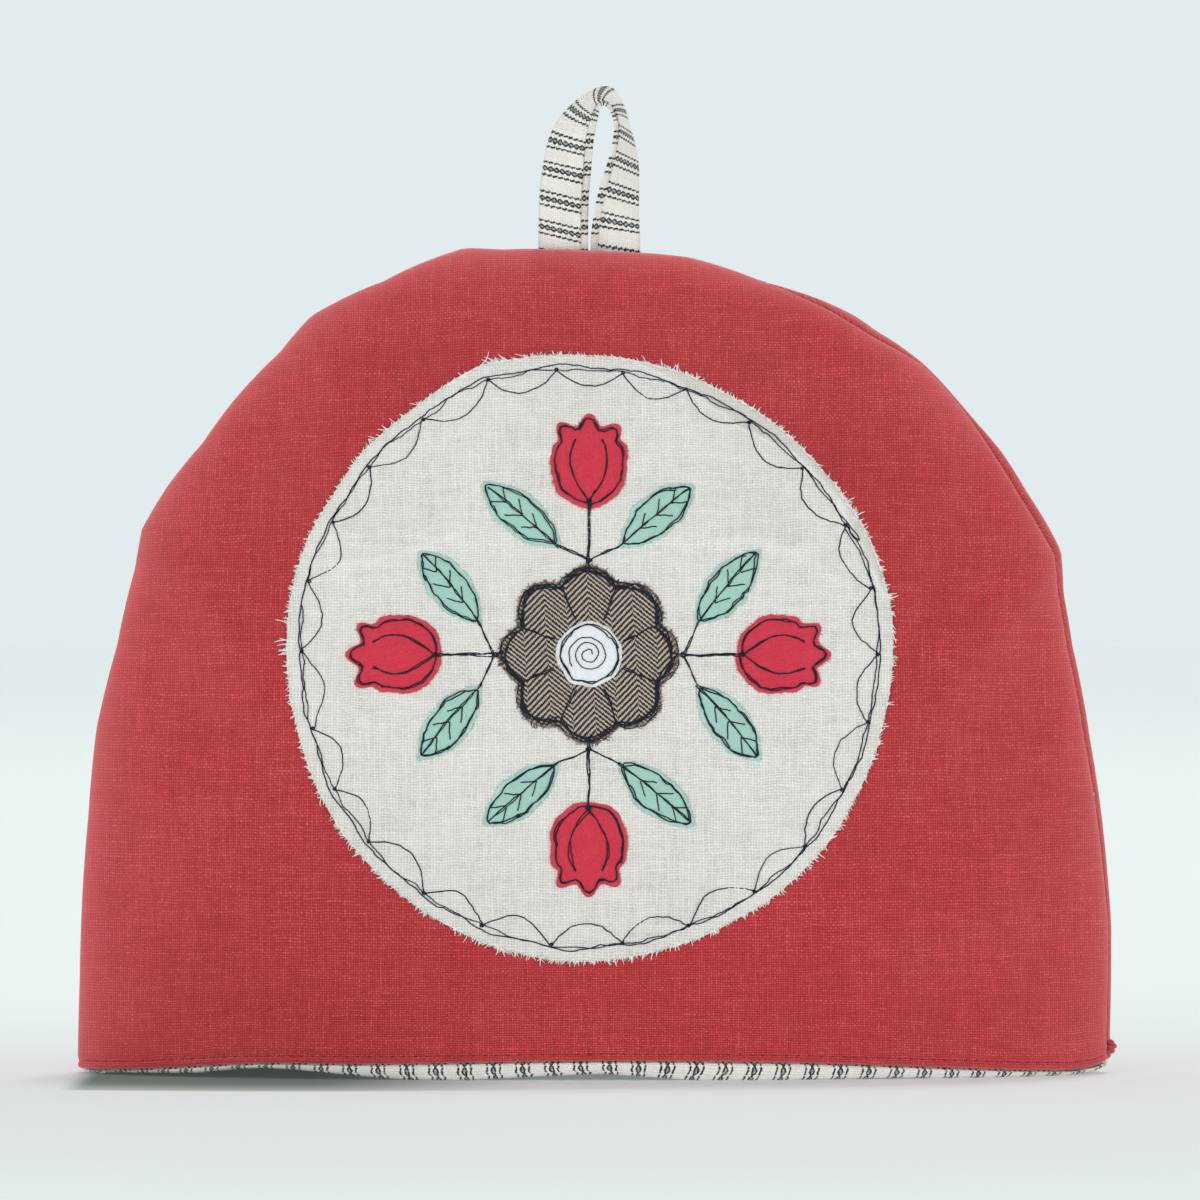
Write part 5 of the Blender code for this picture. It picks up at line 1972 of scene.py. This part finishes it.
    def build(self) -> None:
        """Builds everything that is sewn on the front."""
        rounds, tulips, leaves = self.plan.rounds(), self.plan.tulips(), self.plan.leaves()
        shapes = (*rounds, *tulips, *leaves)
        patch, rosette, middle = rounds
        layering = Layering(self.form, shapes)
        needle = NeedleWork(layering)
        drawing = StitchDrawing(self.plan, needle)
        drawing.ring(patch)
        drawing.stems(leaves)
        for shape in leaves:
            drawing.leaf(shape)
        for shape in tulips:
            drawing.tulip(shape)
        drawing.rosette(rosette, middle)
        dents = needle.dents()
        cloth = ClothMap(self.form, Side.FRONT)
        laid = [self.lay(shape, dents, cloth) for shape in shapes]
        frays = self.frays(layering)
        stitching = needle.build(self.room, dents)


# ---- Small things at the corners ----
@dataclass
class CornerBits:
    """The tucked knot at the right hem corner, a frayed scrap at the left and stray lint."""

    room: Workroom
    form: DomeForm
    knot_place: tuple[float, float, float] = (168.5 * MM, -3.6 * MM, 8.6 * MM)
    knot_size: tuple[float, float, float] = (2.0 * MM, 2.1 * MM, 2.3 * MM)

    # Fibres on the cover, in mm: place across, place up and length.
    FIBRES_MM = ((163.6, 91.0, 1.1), (-96, 168, 0.5), (41, 243, 0.45), (-118, 62, 0.4))
    SCRAP_ENDS = 26

    def knot(self) -> None:
        """The seam's end, tucked and sewn into a small knot."""
        builder = bmesh.new()
        bmesh.ops.create_icosphere(builder, subdivisions=4, radius=1.0)
        for vertex in builder.verts:
            x, y, z = vertex.co
            lump = 1 + 0.08 * float(Ripple(61, 1.3).at(x + y, z))
            pinch = 1 - 0.25 * math.exp(-((z + 0.5 * x - 0.15) / 0.2) ** 2)
            vertex.co = Vector([place + part * size * lump * pinch for place, part, size
                                in zip(self.knot_place, (x, y, z), self.knot_size)])
        layer = builder.loops.layers.uv.new(CLOTH_MAP)
        for loop in (loop for knot_face in builder.faces for loop in knot_face.loops):
            loop[layer].uv = (loop.vert.co.x + loop.vert.co.y, loop.vert.co.z)
        self.room.file(self.room.finish_mesh("corner_knot", builder, "red_linen"), "red_linen")

    def lint(self) -> None:
        """A few pale fibres: at the left hem corner, by the right seam and on the cover."""
        chance = np.random.default_rng(77)
        runs = []
        for _ in range(self.SCRAP_ENDS):
            x = chance.uniform(-169, -158) * MM
            start = self.form.surface(Side.FRONT, np.array([x]), np.array([1.1 * MM]), 2.2 * MM, 0.0)[0]
            reach = np.array([chance.normal(-0.6, 0.9), -abs(chance.normal(0.9, 0.5)),
                              chance.normal(-0.25, 0.25)]) * MM
            bend = np.array([0.0, 0.0, chance.normal(0, 0.2)]) * MM
            places = np.array([start, start + reach * 0.5 + bend, start + reach])
            places[:, 2] = np.maximum(places[:, 2], 0.15 * MM)
            runs.append(ThreadRun(places, np.array([0.10, 0.09, 0.05]) * MM))
        for x, z, size in self.FIBRES_MM:
            spots = np.array([x, x + size * 0.4, x + size * 0.3]) * MM
            ups = np.array([z, z + size * 0.4, z + size]) * MM
            places = self.form.above_front(spots, ups, 0.12 * MM)
            runs.append(ThreadRun(places, np.array([0.09, 0.12, 0.08]) * MM))
        self.room.spin_threads("stray_lint", runs, "linen_thread", "ticking")


# ---- The photographer's table ----
@dataclass
class Studio:
    """Camera, floor and soft light."""

    camera_place: tuple[float, float, float] = (1.6 * MM, -3.0, 154.8 * MM)
    half_view: float = 196.56 * MM
    floor_radius: float = 30.0
    band: Colour = (0.76, 0.832, 0.852)
    ceiling: Colour = (0.38, 0.38, 0.38)
    # Lamps by name: strength, spread in degrees and the way that their light travels.
    LAMPS = (
        ("left_lamp", 1.5, 30, (0.5, 0.8, -0.05)),
        ("right_lamp", 1.22, 40, (-0.6, 0.75, -0.05)),
        ("top_lamp", 0.64, 12, (-0.14, -0.38, -1)),
        ("back_lamp", 0.4, 60, (-0.3, -0.8, -0.35)),
        ("left_rim_lamp", 0.8, 40, (0.85, -0.32, -0.1)),
        ("right_rim_lamp", 0.6, 40, (-0.85, -0.32, -0.1)),
    )

    def camera(self) -> None:
        """A level camera with a long lens, square on to the front."""
        data = bpy.data.cameras.new("camera")
        data.sensor_width = 36.0
        data.lens = data.sensor_width / 2 * -self.camera_place[1] / self.half_view
        data.clip_end = 200.0
        camera = placed("camera", data)
        camera.location = self.camera_place
        camera.rotation_euler = (math.radians(90), 0.0, 0.0)
        bpy.context.scene.camera = camera

    def floor(self) -> None:
        """A wide round floor."""
        builder = bmesh.new()
        bmesh.ops.create_circle(builder, cap_ends=True, segments=96, radius=self.floor_radius)
        floor = placed("pale_floor", meshed("pale_floor", builder, FloorFinish().material()))

    def lights(self) -> None:
        """A pale sky about the horizon, a dimmer ceiling and the soft lamps."""
        world = bpy.data.worlds.new("even_sky")
        world.use_nodes = True
        bpy.context.scene.world = world
        sheet = NodeSheet(world.node_tree)
        way = sheet.add("ShaderNodeTexCoord", output="Generated")
        rise = sheet.add("ShaderNodeSeparateXYZ", None, {0: way}, "Z")
        sky = world.node_tree.nodes["Background"].inputs["Color"]
        sheet.fill(sky, sheet.blend(rise.ramp(0.10, 0.45), self.band, self.ceiling))
        for name, strength, spread, toward in self.LAMPS:
            data = bpy.data.lights.new(name, "SUN")
            data.energy = strength
            data.angle = math.radians(spread)
            placed(name, data).rotation_euler = Vector(toward).to_track_quat("-Z", "Y").to_euler()
        bpy.context.scene.view_settings.view_transform = "Standard"


def write_sizes() -> None:
    """Brings the view layer up to date."""
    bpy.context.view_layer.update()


def main() -> None:
    """Dresses the cosy, piece by piece, and sets up the picture."""
    logging.basicConfig(level=logging.INFO, format="%(name)s %(message)s")
    studio = Studio()
    studio.camera()
    studio.floor()
    studio.lights()
    form = DomeForm()
    room = Workroom()
    for panel in (LiningPanel, CoverPanel):
        for side in Side:
            panel(side).build(room, form)
    HangingLoop().build(room)
    FrontAppliques(room, form).build()
    corners = CornerBits(room, form)
    corners.knot()
    corners.lint()
    faces = sum(len(piece.data.polygons) for piece in room.pieces)
    LOG.info("%d pieces, %d faces", len(room.pieces), faces)
    write_sizes()


if __name__ == "__main__":
    main()
